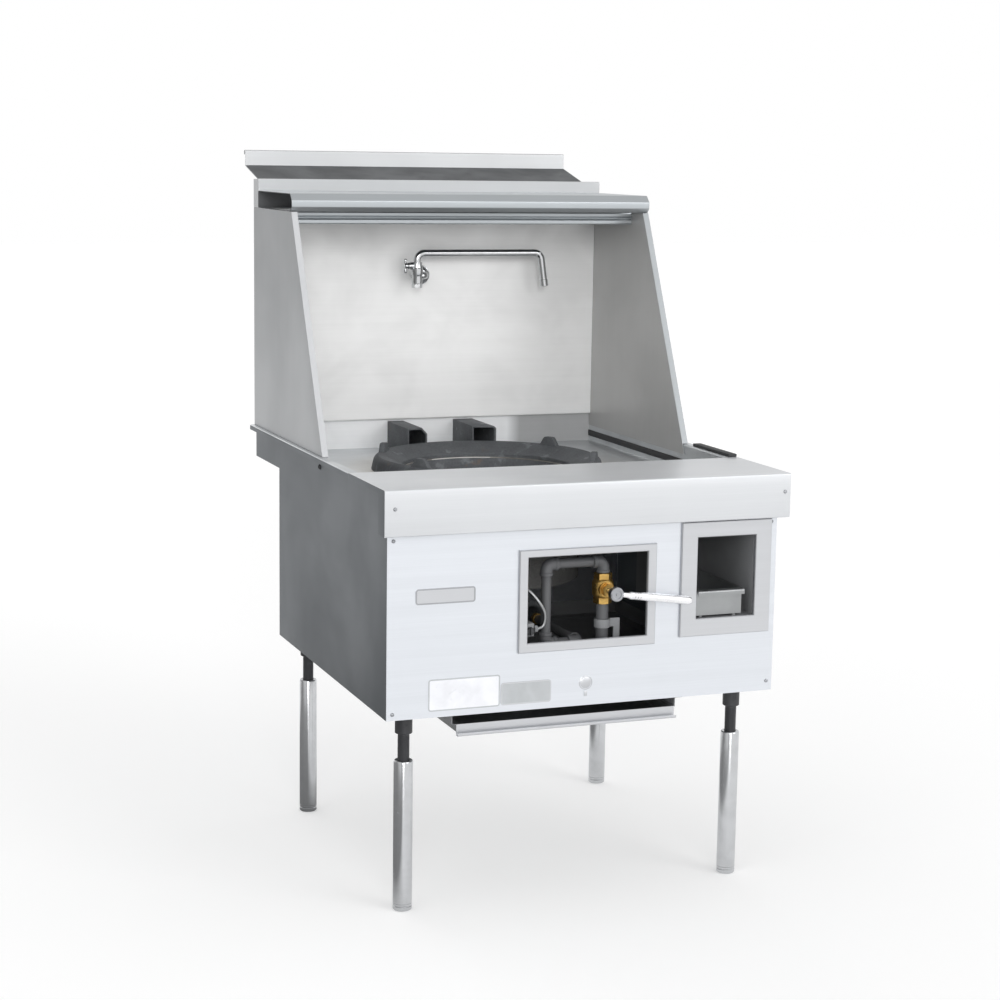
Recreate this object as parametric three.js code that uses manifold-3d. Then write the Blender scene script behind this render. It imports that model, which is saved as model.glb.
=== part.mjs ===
// A single-chamber gas wok range on four legs, in millimetres, +Z up.
// X runs across the front, Y runs from the apron to the back, Z rises from the floor.
import * as THREE from 'three';
import { mergeVertices } from 'three/addons/utils/BufferGeometryUtils.js';
import Module from 'manifold-3d';

const wasm = await Module();
wasm.setup();

// ---- Driving dimensions ------------------------------------------------------------------------

const GAP = 0.3; // clearance left between pieces that touch
const RUNNING = 0.5; // clearance round stems that turn or slide
const SHEET = 2; // folded steel panels
const THIN_SHEET = 1.5; // trays, bin and housing
const BEND = 2; // inside radius of a fold

const TOP_WIDTH = 914.4; // across the landing ledge
const LEDGE_HEIGHT = 914.4; // floor to landing ledge
const DECK_DEPTH = 1080; // apron face to the back of the deck
const BODY_HEIGHT = 482.4; // landing ledge down to the foot of the side panels
const BODY_DEPTH = 834; // front panel to back panel
const BODY_INSET = 15.2; // rim edge in to the side panels
const PANEL_SETBACK = 28; // apron face to front panel
const APRON_HEIGHT = 96;
const APRON_RETURN = 22; // fold under the apron
const LEDGE_DEPTH = 250; // apron face to the recessed deck
const RECESS_DEPTH = 64; // ledge down to the deck floor
const RIM_WIDTH = 23.5; // flat rim beside the recess
const RIM_HEM = 12; // downward hem round the rim
const TAIL_HEIGHT = 78; // depth of the rear overhang under the rim

const SPLASH_HEIGHT = 528.6; // ledge to the top of the side splashes
const SPLASH_FOOT_Y = 485; // front of a side splash where it stands on the rim
const SPLASH_HEAD_Y = 740; // front of a side splash at its top
const SPLASH_THICK = 14.6;
const SPLASH_INSET = 11.2; // rim edge in to the splash's outer skin
const SPLASH_SKIRT = 24; // inner skin hanging into the recess
const BACKSPLASH_LIFT = 6.6; // ledge to the foot of the backsplash
const BACKSPLASH_RETURN = 9;
const FLUE_DEPTH = 46; // backsplash face to the back of the deck

const SHELF_OVERHANG = 5; // shelf nose ahead of the splashes
const SHELF_RISE = 41; // shelf top above the splashes
const SHELF_RAIL_SETBACK = 64; // splash head back to the rail
const SHELF_RAIL_HEIGHT = 28;
const COLLAR_RISE = 69; // flue collar above the splashes
const RISER_RISE = 55; // flue riser above the splashes
const DEFLECTOR_REACH = 155; // how far the deflector leans back from the riser
const DEFLECTOR_RISE = 39; // and how far it climbs on the way
const DEFLECTOR_LAP = 58; // upright part of the deflector against the riser
const DEFLECTOR_LIP = 37; // upright face at the deflector's back
const DEFLECTOR_HEM = 11;
const DEFLECTOR_INSET = 30;

const FRAME_DEPTH = 38; // angle iron of the base frame
const FRAME_FLANGE = 40;
const FRAME_WEB = 3;
const GUSSET = 92; // corner plates over the legs
const CROSS_FRONT_Y = 200; // cross members of the base frame
const CROSS_REAR_Y = 465;
const CROSS_WIDTH = 32;
const CROSS_HEIGHT = 26;
const FLOOR_LAP = 16; // how far the floor sheet reaches in over the crumb tray

const CHAMBER_Y = 635; // centre of the wok chamber
const CHAMBER_MOUTH = 196; // radius of the hole in the deck
const CHAMBER_WALL = 22;
const CHAMBER_DEPTH = 248; // deck floor down to the chamber's foot
const CHAMBER_THROAT = 112; // radius of the hole in the chamber floor
const RING_FLANGE = 76; // ring foot beyond the chamber's mouth
const RING_HEIGHT = 32;
const RING_WALL = 8;
const EAR_HEIGHT = 24; // ears above the ring
const EAR_ANGLE = 33; // degrees behind and ahead of the cross axis
const PORT_X = 86.5; // centre of a flue port
const PORT_WIDTH = 57;
const PORT_HEIGHT = 66;
const PORT_WALL = 5;

const WINDOW_HALF = 136; // half width of the burner window
const WINDOW_SILL = 143; // body's foot to the window
const WINDOW_HEIGHT = 182;
const WINDOW_BORDER = 20;
const BIN_X = 321; // centre of the bin opening
const BIN_OPENING_HALF = 69;
const BIN_SILL = 171; // body's foot to the bin opening
const BIN_OPENING_HEIGHT = 177;
const BIN_BORDER = 38;
const FRAME_THICK = 5.7; // raised frames round the two openings
const BIN_WIDTH = 110;
const BIN_HEIGHT = 56;
const BIN_RUNNER = 4.5; // height of the ribs that the bin slides on
const DRAIN_RADIUS = 21;
const DRAIN_SETBACK = 40; // ledge edge back to the drain

const TRAY_X = -42.5; // the tray hangs left of the middle
const TRAY_HALF = 248.5; // half width of the tray's front
const TRAY_DEPTH = 580;
const TRAY_DROP = 41; // body's foot down to the tray's underside
const TRAY_WALL = 23;
const TRAY_WING = 11;

const PIPE_SETBACK = 47; // front panel to the plane of the pipes
const SUPPLY_RADIUS = 13.3;
const FEED_RADIUS = 10.7;
const INLET_X = -330;
const INLET_RISE = 58; // body's foot to the supply pipe
const VALVE_X = 55;
const VALVE_RISE = 98; // window sill to the valve's axis
const VALVE_HALF = 33; // half the valve's length between its pipes
const VALVE_STEM = 6;
const FEED_LEFT_X = -75;
const FEED_RISE = 58; // valve's axis to the crossing pipe
const BURNER_PIPE_RISE = 128; // body's foot to the burner's pipe
const ORIFICE_Y = 300;
const MIXER_RADIUS = 24;
const HEAD_RADIUS = 84;
const HEAD_RISE = 30; // chamber's foot to the burner head
const LEVER_LENGTH = 176; // valve axis to the end of the lever
const LEVER_DROP = 8; // degrees below level when shut
const LEVER_RADIUS = 9;
const LEVER_Y = 4;
const PILOT_X = -123;
const PILOT_RISE = 22; // window sill to the pilot valve
const PILOT_HALF = 13;
const PILOT_TUBE_RADIUS = 4;
const PILOT_BURNER_X = -97;

const FAUCET_X = -60;
const FAUCET_STANDOFF = 49; // backsplash face to the swivel axis
const FAUCET_RISE = 366.6; // ledge to the centre of the wall flange
const FAUCET_FLANGE_X = -36;
const SPOUT_RUN = 337; // swivel axis to the spout's end
const SPOUT_RISE = 55; // wall flange to the spout's level run
const SPOUT_RADIUS = 9;
const SPOUT_DROP = 83;
const HANDLE_STEM = 4;
const WATER_RADIUS = 10.7;

const LEG_INSET = 76.2; // rim edge in to a leg's axis
const LEG_FRONT = 70; // front panel to the front legs
const LEG_REAR = 36; // rear legs to the back panel
const LEG_RADIUS = 20.5;
const LEG_WALL = 2;
const LEG_DROP = 105; // body's foot down to the tube
const STEM_RADIUS = 13;
const STEM_REACH = 92; // how far the stem runs down in the tube
const SOCKET_DROP = 47;
const SOCKET_RADIUS = 18.5;
const FOOT_HEIGHT = 16;
const LEG_SIDES = 16;

// ---- Places worked out from the driving dimensions ---------------------------------------------

const HALF_TURN = Math.PI;
const QUARTER_TURN = Math.PI / 2;

const HALF_TOP = TOP_WIDTH / 2;
const HALF_BODY = HALF_TOP - BODY_INSET;
const BODY_REAR = PANEL_SETBACK + BODY_DEPTH;
const BODY_BOTTOM = LEDGE_HEIGHT - BODY_HEIGHT;
const DECK_FLOOR = LEDGE_HEIGHT - RECESS_DEPTH;
const PAN_INNER = HALF_TOP - RIM_WIDTH; // inside face of the recess walls
const SPLASH_TOP = LEDGE_HEIGHT + SPLASH_HEIGHT;
const SPLASH_OUTER = HALF_TOP - SPLASH_INSET;
const SPLASH_INNER = SPLASH_OUTER - SPLASH_THICK;
const BETWEEN_SPLASHES = SPLASH_INNER - GAP;
const SIDE_INNER = HALF_BODY - SHEET;
const INSIDE_SIDES = SIDE_INNER - GAP;
const PANEL_BACK = PANEL_SETBACK + SHEET + GAP;
const UNDER_RIM = LEDGE_HEIGHT - SHEET - GAP;
const TAIL_BOTTOM = LEDGE_HEIGHT - TAIL_HEIGHT;
const APRON_BOTTOM = LEDGE_HEIGHT - APRON_HEIGHT;
const BACKSPLASH_Y = DECK_DEPTH - FLUE_DEPTH;
const BACKSPLASH_BOTTOM = LEDGE_HEIGHT + BACKSPLASH_LIFT;
const REAR_WALL_Y = BACKSPLASH_Y + BACKSPLASH_RETURN + 2 * GAP; // recess wall behind the backsplash
const RISER_FRONT_Y = REAR_WALL_Y + SHEET + BEND + GAP;
const RISER_TOP = SPLASH_TOP + RISER_RISE;
const COLLAR_TOP = SPLASH_TOP + COLLAR_RISE;
const DEFLECTOR_BEND = RISER_TOP + BEND * 2;
const DEFLECTOR_FOOT = DEFLECTOR_BEND - DEFLECTOR_LAP;
const SHELF_FRONT_Y = SPLASH_HEAD_Y - SHELF_OVERHANG;
const SHELF_RAIL_Y = SPLASH_HEAD_Y + SHELF_RAIL_SETBACK;
const CHAMBER_TOP = DECK_FLOOR - SHEET - GAP;
const CHAMBER_BOTTOM = DECK_FLOOR - CHAMBER_DEPTH;
const RING_RADIUS = CHAMBER_MOUTH + RING_FLANGE;
const WINDOW_BOTTOM = BODY_BOTTOM + WINDOW_SILL;
const WINDOW_TOP = WINDOW_BOTTOM + WINDOW_HEIGHT;
const BIN_OPENING_BOTTOM = BODY_BOTTOM + BIN_SILL;
const BIN_OPENING_TOP = BIN_OPENING_BOTTOM + BIN_OPENING_HEIGHT;
const BIN_LEFT = BIN_X - BIN_OPENING_HALF + 3;
const DRAIN_Y = LEDGE_DEPTH + DRAIN_SETBACK;
const HOUSING_REAR = DRAIN_Y + DRAIN_RADIUS + 19;
const TRAY_FLOOR = BODY_BOTTOM - TRAY_DROP;
const TRAY_FRONT_Y = PANEL_SETBACK - 6;
const TRAY_STRIP_Y = TRAY_FRONT_Y + 2; // middle of the tray's front strip
const PIPE_Y = PANEL_SETBACK + PIPE_SETBACK;
const INLET_Z = BODY_BOTTOM + INLET_RISE;
const VALVE_Z = WINDOW_BOTTOM + VALVE_RISE;
const BONNET_FRONT = PIPE_Y - 35;
const FEED_TOP_Z = VALVE_Z + FEED_RISE;
const BURNER_PIPE_Z = BODY_BOTTOM + BURNER_PIPE_RISE;
const HEAD_BOTTOM = CHAMBER_BOTTOM + HEAD_RISE;
const PILOT_Y = PIPE_Y - 17;
const PILOT_Z = WINDOW_BOTTOM + PILOT_RISE;
const FAUCET_Y = BACKSPLASH_Y - FAUCET_STANDOFF;
const FAUCET_Z = LEDGE_HEIGHT + FAUCET_RISE;
const SPOUT_Z = FAUCET_Z + SPOUT_RISE;
const FAUCET_TOP = SPOUT_Z - 22;
const HANDLE_Z = FAUCET_Z + 24;
const LEG_X = HALF_TOP - LEG_INSET;
const LEG_FRONT_Y = PANEL_SETBACK + LEG_FRONT;
const LEG_REAR_Y = BODY_REAR - LEG_REAR;
const LEG_TOP = BODY_BOTTOM - LEG_DROP;
const STEM_BOTTOM = LEG_TOP - STEM_REACH;
const SOCKET_BOTTOM = BODY_BOTTOM - SOCKET_DROP;

const steel = { color: 0xd4d6d6, metalness: 0.85, roughness: 0.38 };
const darkSteel = { color: 0x7c8186, metalness: 0.8, roughness: 0.5 };
const castIron = { color: 0x2e3134, metalness: 0.4, roughness: 0.85 };
const blackPaint = { color: 0x3b3d40, metalness: 0.3, roughness: 0.6 };
const chrome = { color: 0xe2e4e6, metalness: 1, roughness: 0.15 };
const brass = { color: 0xc49a4a, metalness: 0.9, roughness: 0.35 };
const refractory = { color: 0x8c8478, metalness: 0, roughness: 0.95 };

const range = new THREE.Group();

// ---- Solid helpers -----------------------------------------------------------------------------

function signedVolume(geometry) {
  const position = geometry.attributes.position;
  const corners = [new THREE.Vector3(), new THREE.Vector3(), new THREE.Vector3()];
  let volume = 0;
  for (let i = 0; i < geometry.index.count; i += 3) {
    corners.forEach((corner, k) => corner.fromBufferAttribute(position, geometry.index.getX(i + k)));
    volume += corners[0].dot(corners[1].cross(corners[2])) / 6;
  }
  return volume;
}

// Merges the shared corners of a closed geometry and turns its faces outwards.
function closed(source) {
  const bare = source.clone();
  bare.deleteAttribute('normal');
  bare.deleteAttribute('uv');
  const geometry = mergeVertices(bare, 1e-4);
  if (signedVolume(geometry) < 0) {
    geometry.index.array.reverse();
  }
  return geometry;
}

function toSolid(geometry) {
  const ready = closed(geometry);
  const mesh = new wasm.Mesh({
    numProp: 3,
    vertProperties: new Float32Array(ready.attributes.position.array),
    triVerts: new Uint32Array(ready.index.array),
  });
  mesh.merge();
  return new wasm.Manifold(mesh);
}

function toGeometry(solid) {
  const mesh = solid.getMesh();
  const geometry = new THREE.BufferGeometry();
  geometry.setAttribute('position', new THREE.BufferAttribute(new Float32Array(mesh.vertProperties), 3));
  geometry.setIndex(new THREE.BufferAttribute(new Uint32Array(mesh.triVerts), 1));
  return geometry;
}

function join(first, ...others) {
  return toGeometry(others.reduce((solid, other) => solid.add(toSolid(other)), toSolid(first)));
}

function cut(first, ...tools) {
  return toGeometry(tools.reduce((solid, tool) => solid.subtract(toSolid(tool)), toSolid(first)));
}

function box(x0, x1, y0, y1, z0, z1) {
  const geometry = new THREE.BoxGeometry(x1 - x0, y1 - y0, z1 - z0);
  return geometry.translate((x0 + x1) / 2, (y0 + y1) / 2, (z0 + z1) / 2);
}

function cylinderZ(radius, x, y, z0, z1, sides = 20) {
  const geometry = new THREE.CylinderGeometry(radius, radius, z1 - z0, sides);
  return geometry.rotateX(QUARTER_TURN).translate(x, y, (z0 + z1) / 2);
}

function cylinderY(radius, x, z, y0, y1, sides = 18) {
  return new THREE.CylinderGeometry(radius, radius, y1 - y0, sides).translate(x, (y0 + y1) / 2, z);
}

// Turns a profile of [radius, height] pairs about the vertical line through x, y.
function lathe(profile, x, y, sides = 32) {
  const points = profile.map(([radius, height]) => new THREE.Vector2(radius, height));
  return new THREE.LatheGeometry(points, sides).rotateX(QUARTER_TURN).translate(x, y, 0);
}

function shapeOf(points) {
  return new THREE.Shape(points.map(([a, b]) => new THREE.Vector2(a, b)));
}

function straightRun(shape, depth) {
  return new THREE.ExtrudeGeometry(shape, { depth, bevelEnabled: false, curveSegments: 3 });
}

// Shapes drawn as (y, z) run along X, and shapes drawn as (x, z) run along Y.
function alongX(shape, x0, x1) {
  const geometry = straightRun(shape, x1 - x0);
  const basis = new THREE.Matrix4().makeBasis(
    new THREE.Vector3(0, 1, 0),
    new THREE.Vector3(0, 0, 1),
    new THREE.Vector3(1, 0, 0),
  );
  return geometry.applyMatrix4(basis).translate(x0, 0, 0);
}

function alongY(shape, y0, y1) {
  const geometry = straightRun(shape, y1 - y0);
  return geometry.rotateX(QUARTER_TURN).translate(0, y1, 0);
}

function alongZ(shape, z0, z1) {
  const geometry = straightRun(shape, z1 - z0);
  return geometry.translate(0, 0, z0);
}

function rectangle(a0, a1, b0, b1) {
  return shapeOf([[a0, b0], [a1, b0], [a1, b1], [a0, b1]]);
}

// Rounds every inner corner of a path with arcs of the given radius.
function roundCorners(corners, radius, steps) {
  const route = [corners[0].clone()];
  for (let i = 1; i < corners.length - 1; i += 1) {
    const before = corners[i - 1].clone().sub(corners[i]).normalize();
    const after = corners[i + 1].clone().sub(corners[i]).normalize();
    const half = Math.acos(THREE.MathUtils.clamp(before.dot(after), -1, 1)) / 2;
    const reach = radius / Math.tan(half);
    const start = corners[i].clone().addScaledVector(before, reach);
    const middle = before.clone().add(after).normalize();
    const centre = corners[i].clone().addScaledVector(middle, radius / Math.sin(half));
    const from = start.clone().sub(centre);
    const sweep = HALF_TURN - 2 * half;
    const across = before.clone().negate();
    for (let k = 0; k <= steps; k += 1) {
      const turn = (sweep * k) / steps;
      const point = centre.clone().addScaledVector(from, Math.cos(turn));
      route.push(point.addScaledVector(across, radius * Math.sin(turn)));
    }
  }
  route.push(corners[corners.length - 1].clone());
  return route;
}

// The cross-section of a folded sheet, from the middle line of its folds.
function foldedSheet(line, thickness = SHEET) {
  const corners = line.map(([a, b]) => new THREE.Vector2(a, b));
  const route = roundCorners(corners, BEND + thickness / 2, 3);
  const left = [];
  const right = [];
  route.forEach((point, i) => {
    const inward = (i > 0 ? point.clone().sub(route[i - 1]) : route[1].clone().sub(point)).normalize();
    const onward = (i < route.length - 1 ? route[i + 1].clone().sub(point) : inward.clone()).normalize();
    const along = inward.clone().add(onward).normalize();
    const side = new THREE.Vector2(-along.y, along.x);
    const offset = thickness / 2 / Math.max(inward.dot(along), 0.5);
    left.push(point.clone().addScaledVector(side, offset));
    right.push(point.clone().addScaledVector(side, -offset));
  });
  return new THREE.Shape([...left, ...right.reverse()]);
}

// A route that is stepped point by point, so that straights take no extra rings.
class PipeRoute extends THREE.Curve {
  constructor(points) {
    super();
    this.points = points;
  }

  getPoint(t, target = new THREE.Vector3()) {
    const last = this.points.length - 1;
    const place = THREE.MathUtils.clamp(t, 0, 1) * last;
    const i = Math.min(Math.floor(place), last - 1);
    return target.lerpVectors(this.points[i], this.points[i + 1], place - i);
  }

  getUtoTmapping(u) {
    return u;
  }
}

function disc(radius, sides) {
  const points = [];
  for (let i = 0; i < sides; i += 1) {
    const turn = (2 * HALF_TURN * i) / sides;
    points.push([radius * Math.cos(turn), radius * Math.sin(turn)]);
  }
  return shapeOf(points);
}

function sweep(points, radius, sides = 12) {
  const extrudePath = new PipeRoute(points);
  return new THREE.ExtrudeGeometry(disc(radius, sides), { steps: points.length - 1, extrudePath });
}

// A run of pipe through corners, with a stouter elbow fitting at each bend.
function pipeRun(corners, radius, bend, fitting = 1.28) {
  const points = corners.map(([x, y, z]) => new THREE.Vector3(x, y, z));
  const elbows = points.slice(1, -1).map((corner, i) => {
    const collar = bend + radius;
    const back = points[i].clone().sub(corner).setLength(collar).add(corner);
    const ahead = points[i + 2].clone().sub(corner).setLength(collar).add(corner);
    return sweep(roundCorners([back, corner, ahead], bend, 3), radius * fitting);
  });
  return join(sweep(roundCorners(points, bend, 3), radius), ...elbows);
}

function add(name, geometry, finish) {
  const mesh = new THREE.Mesh(closed(geometry), new THREE.MeshStandardMaterial(finish));
  mesh.name = name;
  range.add(mesh);
  return mesh;
}

// ---- Body --------------------------------------------------------------------------------------

// An L-shaped side: the upper part runs on behind the body to carry the deck.
function sidePanel() {
  const outline = shapeOf([
    [PANEL_BACK, BODY_BOTTOM],
    [BODY_REAR, BODY_BOTTOM],
    [BODY_REAR, TAIL_BOTTOM],
    [DECK_DEPTH - SHEET - GAP, TAIL_BOTTOM],
    [DECK_DEPTH - SHEET - GAP, UNDER_RIM],
    [PANEL_BACK, UNDER_RIM],
  ]);
  const flange = 18;
  const clearOfDeck = DECK_FLOOR - SHEET - GAP;
  const fold = box(
    SIDE_INNER - flange, HALF_BODY, PANEL_BACK, PANEL_BACK + SHEET, BODY_BOTTOM, clearOfDeck,
  );
  return join(alongX(outline, SIDE_INNER, HALF_BODY), fold);
}

function frontPanel() {
  const outline = rectangle(-HALF_BODY, HALF_BODY, BODY_BOTTOM, LEDGE_HEIGHT - SHEET - GAP);
  outline.holes.push(rectangle(-WINDOW_HALF, WINDOW_HALF, WINDOW_BOTTOM, WINDOW_TOP));
  outline.holes.push(
    rectangle(BIN_X - BIN_OPENING_HALF, BIN_X + BIN_OPENING_HALF, BIN_OPENING_BOTTOM, BIN_OPENING_TOP),
  );
  return alongY(outline, PANEL_SETBACK, PANEL_SETBACK + SHEET);
}

function backPanel() {
  const sheet = box(
    -INSIDE_SIDES, INSIDE_SIDES, BODY_REAR - SHEET, BODY_REAR, BODY_BOTTOM, TAIL_BOTTOM - GAP,
  );
  const pipeHole = cylinderY(SUPPLY_RADIUS + 3, INLET_X, INLET_Z, BODY_REAR - 10, BODY_REAR + 10);
  return cut(sheet, pipeHole);
}

// Angle-iron frame with gussets over the legs, two cross members and a thin floor sheet that is
// open above the crumb tray.
function baseFrame() {
  const front = PANEL_BACK + SHEET + GAP;
  const rear = BODY_REAR - SHEET - GAP;
  const bottom = BODY_BOTTOM;
  const top = bottom + FRAME_DEPTH;
  const x = INSIDE_SIDES - FRAME_WEB;
  const upright = cut(
    box(-INSIDE_SIDES, INSIDE_SIDES, front, rear, bottom, top),
    box(-x, x, front + FRAME_WEB, rear - FRAME_WEB, bottom - 1, top + 1),
  );
  const ledges = rectangle(1 - INSIDE_SIDES, INSIDE_SIDES - 1, front + 1, rear - 1);
  const xFlange = INSIDE_SIDES - FRAME_FLANGE;
  const xGusset = INSIDE_SIDES - GUSSET;
  ledges.holes.push(shapeOf([
    [-xGusset, front + FRAME_FLANGE], [xGusset, front + FRAME_FLANGE],
    [xFlange, front + GUSSET], [xFlange, rear - GUSSET],
    [xGusset, rear - FRAME_FLANGE], [-xGusset, rear - FRAME_FLANGE],
    [-xFlange, rear - GUSSET], [-xFlange, front + GUSSET],
  ]));
  const floor = rectangle(2 - INSIDE_SIDES, INSIDE_SIDES - 2, front + 2, rear - 2);
  floor.holes.push(rectangle(
    TRAY_X - TRAY_HALF + FLOOR_LAP, TRAY_X + TRAY_HALF - FLOOR_LAP,
    front + FRAME_FLANGE - 6, TRAY_FRONT_Y + TRAY_DEPTH - FLOOR_LAP,
  ));
  const low = bottom + FRAME_WEB / 2 + 1;
  const high = bottom + CROSS_HEIGHT - FRAME_WEB / 2;
  const members = [CROSS_FRONT_Y, CROSS_REAR_Y].map((y) => alongX(
    foldedSheet([[y - 14, low], [y, low], [y, high], [y + CROSS_WIDTH, high],
      [y + CROSS_WIDTH, low], [y + CROSS_WIDTH + 14, low]], FRAME_WEB),
    1 - INSIDE_SIDES, INSIDE_SIDES - 1,
  ));
  return join(
    upright, alongZ(ledges, bottom, bottom + FRAME_WEB),
    alongZ(floor, bottom + 0.7, bottom + 0.7 + THIN_SHEET), ...members,
  );
}

function rearEnclosure() {
  const half = SHEET / 2;
  const line = [
    [BODY_REAR + GAP, TAIL_BOTTOM + half],
    [DECK_DEPTH - half, TAIL_BOTTOM + half],
    [DECK_DEPTH - half, UNDER_RIM - BEND],
  ];
  return alongX(foldedSheet(line), -INSIDE_SIDES, INSIDE_SIDES);
}

const side = sidePanel();
add('side_panel_right', side, darkSteel);
add('side_panel_left', side.clone().scale(-1, 1, 1), darkSteel);
add('front_panel', frontPanel(), steel);
add('back_panel', backPanel(), steel);
add('base_frame', baseFrame(), darkSteel);
add('rear_enclosure', rearEnclosure(), steel);

// ---- Cooking deck ------------------------------------------------------------------------------

// One sheet folded into the apron, the flat landing ledge and the front of the recess.
function landingLedge() {
  const half = SHEET / 2;
  const face = alongX(
    foldedSheet([
      [APRON_RETURN, APRON_BOTTOM + half],
      [half, APRON_BOTTOM + half],
      [half, LEDGE_HEIGHT - half],
      [LEDGE_DEPTH, LEDGE_HEIGHT - half],
    ]),
    -HALF_TOP, HALF_TOP,
  );
  const backFold = box(
    -PAN_INNER, PAN_INNER, LEDGE_DEPTH - SHEET, LEDGE_DEPTH, DECK_FLOOR + GAP, LEDGE_HEIGHT - half,
  );
  const cheek = shapeOf([
    [half, APRON_BOTTOM + half],
    [PANEL_SETBACK + 14, APRON_BOTTOM + half],
    [PANEL_SETBACK + 14, LEDGE_HEIGHT - RIM_HEM],
    [LEDGE_DEPTH, LEDGE_HEIGHT - RIM_HEM],
    [LEDGE_DEPTH, LEDGE_HEIGHT - half],
    [half, LEDGE_HEIGHT - half],
  ]);
  return join(
    face, backFold, alongX(cheek, HALF_TOP - SHEET, HALF_TOP), alongX(cheek, -HALF_TOP, SHEET - HALF_TOP),
  );
}

// Recessed deck with rims, a hole over the chamber, two flue slots and a drain.
function deckPan() {
  const half = SHEET / 2;
  const front = LEDGE_DEPTH + GAP;
  const rim = HALF_TOP - half;
  const wall = PAN_INNER + half;
  const hemFoot = LEDGE_HEIGHT - RIM_HEM;
  const top = LEDGE_HEIGHT - half;
  const floor = DECK_FLOOR - half;
  const tray = alongY(
    foldedSheet([[-rim, hemFoot], [-rim, top], [-wall, top], [-wall, floor],
      [wall, floor], [wall, top], [rim, top], [rim, hemFoot]]),
    front, DECK_DEPTH,
  );
  const frontWall = box(-wall, wall, front, front + SHEET, floor, top - SHEET - GAP);
  const rearWall = join(
    box(-wall, wall, REAR_WALL_Y, REAR_WALL_Y + SHEET, floor, top),
    box(-BETWEEN_SPLASHES, BETWEEN_SPLASHES, REAR_WALL_Y, REAR_WALL_Y + SHEET, floor, BACKSPLASH_BOTTOM + 6),
  );
  const mouth = cylinderZ(CHAMBER_MOUTH, 0, CHAMBER_Y, DECK_FLOOR - 10, DECK_FLOOR + 10, 48);
  const drain = cylinderZ(DRAIN_RADIUS + 3 * GAP, BIN_X, DRAIN_Y, DECK_FLOOR - 10, DECK_FLOOR + 10);
  const behind = box(
    -PAN_INNER - SHEET - 0.5, PAN_INNER + SHEET + 0.5,
    REAR_WALL_Y + SHEET, DECK_DEPTH + 1, DECK_FLOOR - 10, LEDGE_HEIGHT - SHEET - 0.5,
  );
  const slots = [-PORT_X, PORT_X].map((x) => box(
    x - PORT_WIDTH / 2 + PORT_WALL, x + PORT_WIDTH / 2 - PORT_WALL,
    REAR_WALL_Y - 5, REAR_WALL_Y + 10, DECK_FLOOR + 4, DECK_FLOOR + PORT_HEIGHT - PORT_WALL,
  ));
  return cut(join(tray, frontWall, rearWall), mouth, drain, behind, ...slots);
}

// The waste water of the deck runs through a spout into the catch bin.
function drainSpout() {
  const bottom = BIN_OPENING_TOP - 14;
  const lip = DECK_FLOOR + GAP;
  const profile = [
    [DRAIN_RADIUS - 2, bottom], [DRAIN_RADIUS, bottom], [DRAIN_RADIUS, lip], [DRAIN_RADIUS + 9, lip],
    [DRAIN_RADIUS + 9, lip + 1], [DRAIN_RADIUS - 2, lip + 1], [DRAIN_RADIUS - 2, bottom],
  ];
  return lathe(profile, BIN_X, DRAIN_Y, 24);
}

add('landing_ledge', landingLedge(), steel);
add('deck_pan', deckPan(), steel);
add('drain_spout', drainSpout(), steel);

// ---- Splashes, shelf and flue ------------------------------------------------------------------

// A hollow side splash with a sloping front. Its inner skin hangs into the recess.
function sideSplash() {
  const foot = LEDGE_HEIGHT + GAP;
  const rear = DECK_DEPTH - GAP;
  const slope = (SPLASH_HEAD_Y - SPLASH_FOOT_Y) / (SPLASH_TOP - foot);
  const outline = shapeOf([
    [SPLASH_FOOT_Y, foot], [rear, foot], [rear, SPLASH_TOP], [SPLASH_HEAD_Y, SPLASH_TOP],
  ]);
  const hollow = shapeOf([
    [SPLASH_FOOT_Y + SHEET * (1 + slope), foot + SHEET], [rear + 5, foot + SHEET],
    [rear + 5, SPLASH_TOP - SHEET], [SPLASH_HEAD_Y + SHEET * (1 - slope), SPLASH_TOP - SHEET],
  ]);
  const skirt = shapeOf([
    [SPLASH_FOOT_Y - SPLASH_SKIRT * slope, foot - SPLASH_SKIRT],
    [REAR_WALL_Y - GAP, foot - SPLASH_SKIRT],
    [REAR_WALL_Y - GAP, foot + SHEET],
    [SPLASH_FOOT_Y + SHEET * slope, foot + SHEET],
  ]);
  return join(
    cut(alongX(outline, SPLASH_INNER, SPLASH_OUTER),
      alongX(hollow, SPLASH_INNER + SHEET, SPLASH_OUTER - SHEET)),
    alongX(skirt, SPLASH_INNER, SPLASH_INNER + SHEET - 0.02),
  );
}

function backsplash() {
  const front = BACKSPLASH_Y + SHEET / 2;
  const back = BACKSPLASH_Y + BACKSPLASH_RETURN;
  const line = [
    [back, BACKSPLASH_BOTTOM + SHEET / 2], [front, BACKSPLASH_BOTTOM + SHEET / 2],
    [front, SPLASH_TOP - GAP - SHEET / 2], [back, SPLASH_TOP - GAP - SHEET / 2],
  ];
  const sheet = alongX(foldedSheet(line), -BETWEEN_SPLASHES, BETWEEN_SPLASHES);
  const supplyHole = cylinderY(
    WATER_RADIUS + 1, FAUCET_FLANGE_X, FAUCET_Z, BACKSPLASH_Y - 5, BACKSPLASH_Y + 5,
  );
  return cut(sheet, supplyHole);
}

// Flue box: a channel open to the front, closed by the backsplash.
function flueRiser() {
  const edge = BETWEEN_SPLASHES - SHEET / 2;
  const back = DECK_DEPTH - SHEET / 2;
  const plan = foldedSheet([[-edge, RISER_FRONT_Y], [-edge, back], [edge, back], [edge, RISER_FRONT_Y]]);
  const supplyHole = cylinderY(
    WATER_RADIUS + 1, FAUCET_FLANGE_X, FAUCET_Z, DECK_DEPTH - 8, DECK_DEPTH + 8,
  );
  return cut(alongZ(plan, LEDGE_HEIGHT + GAP, RISER_TOP), supplyHole);
}

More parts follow.
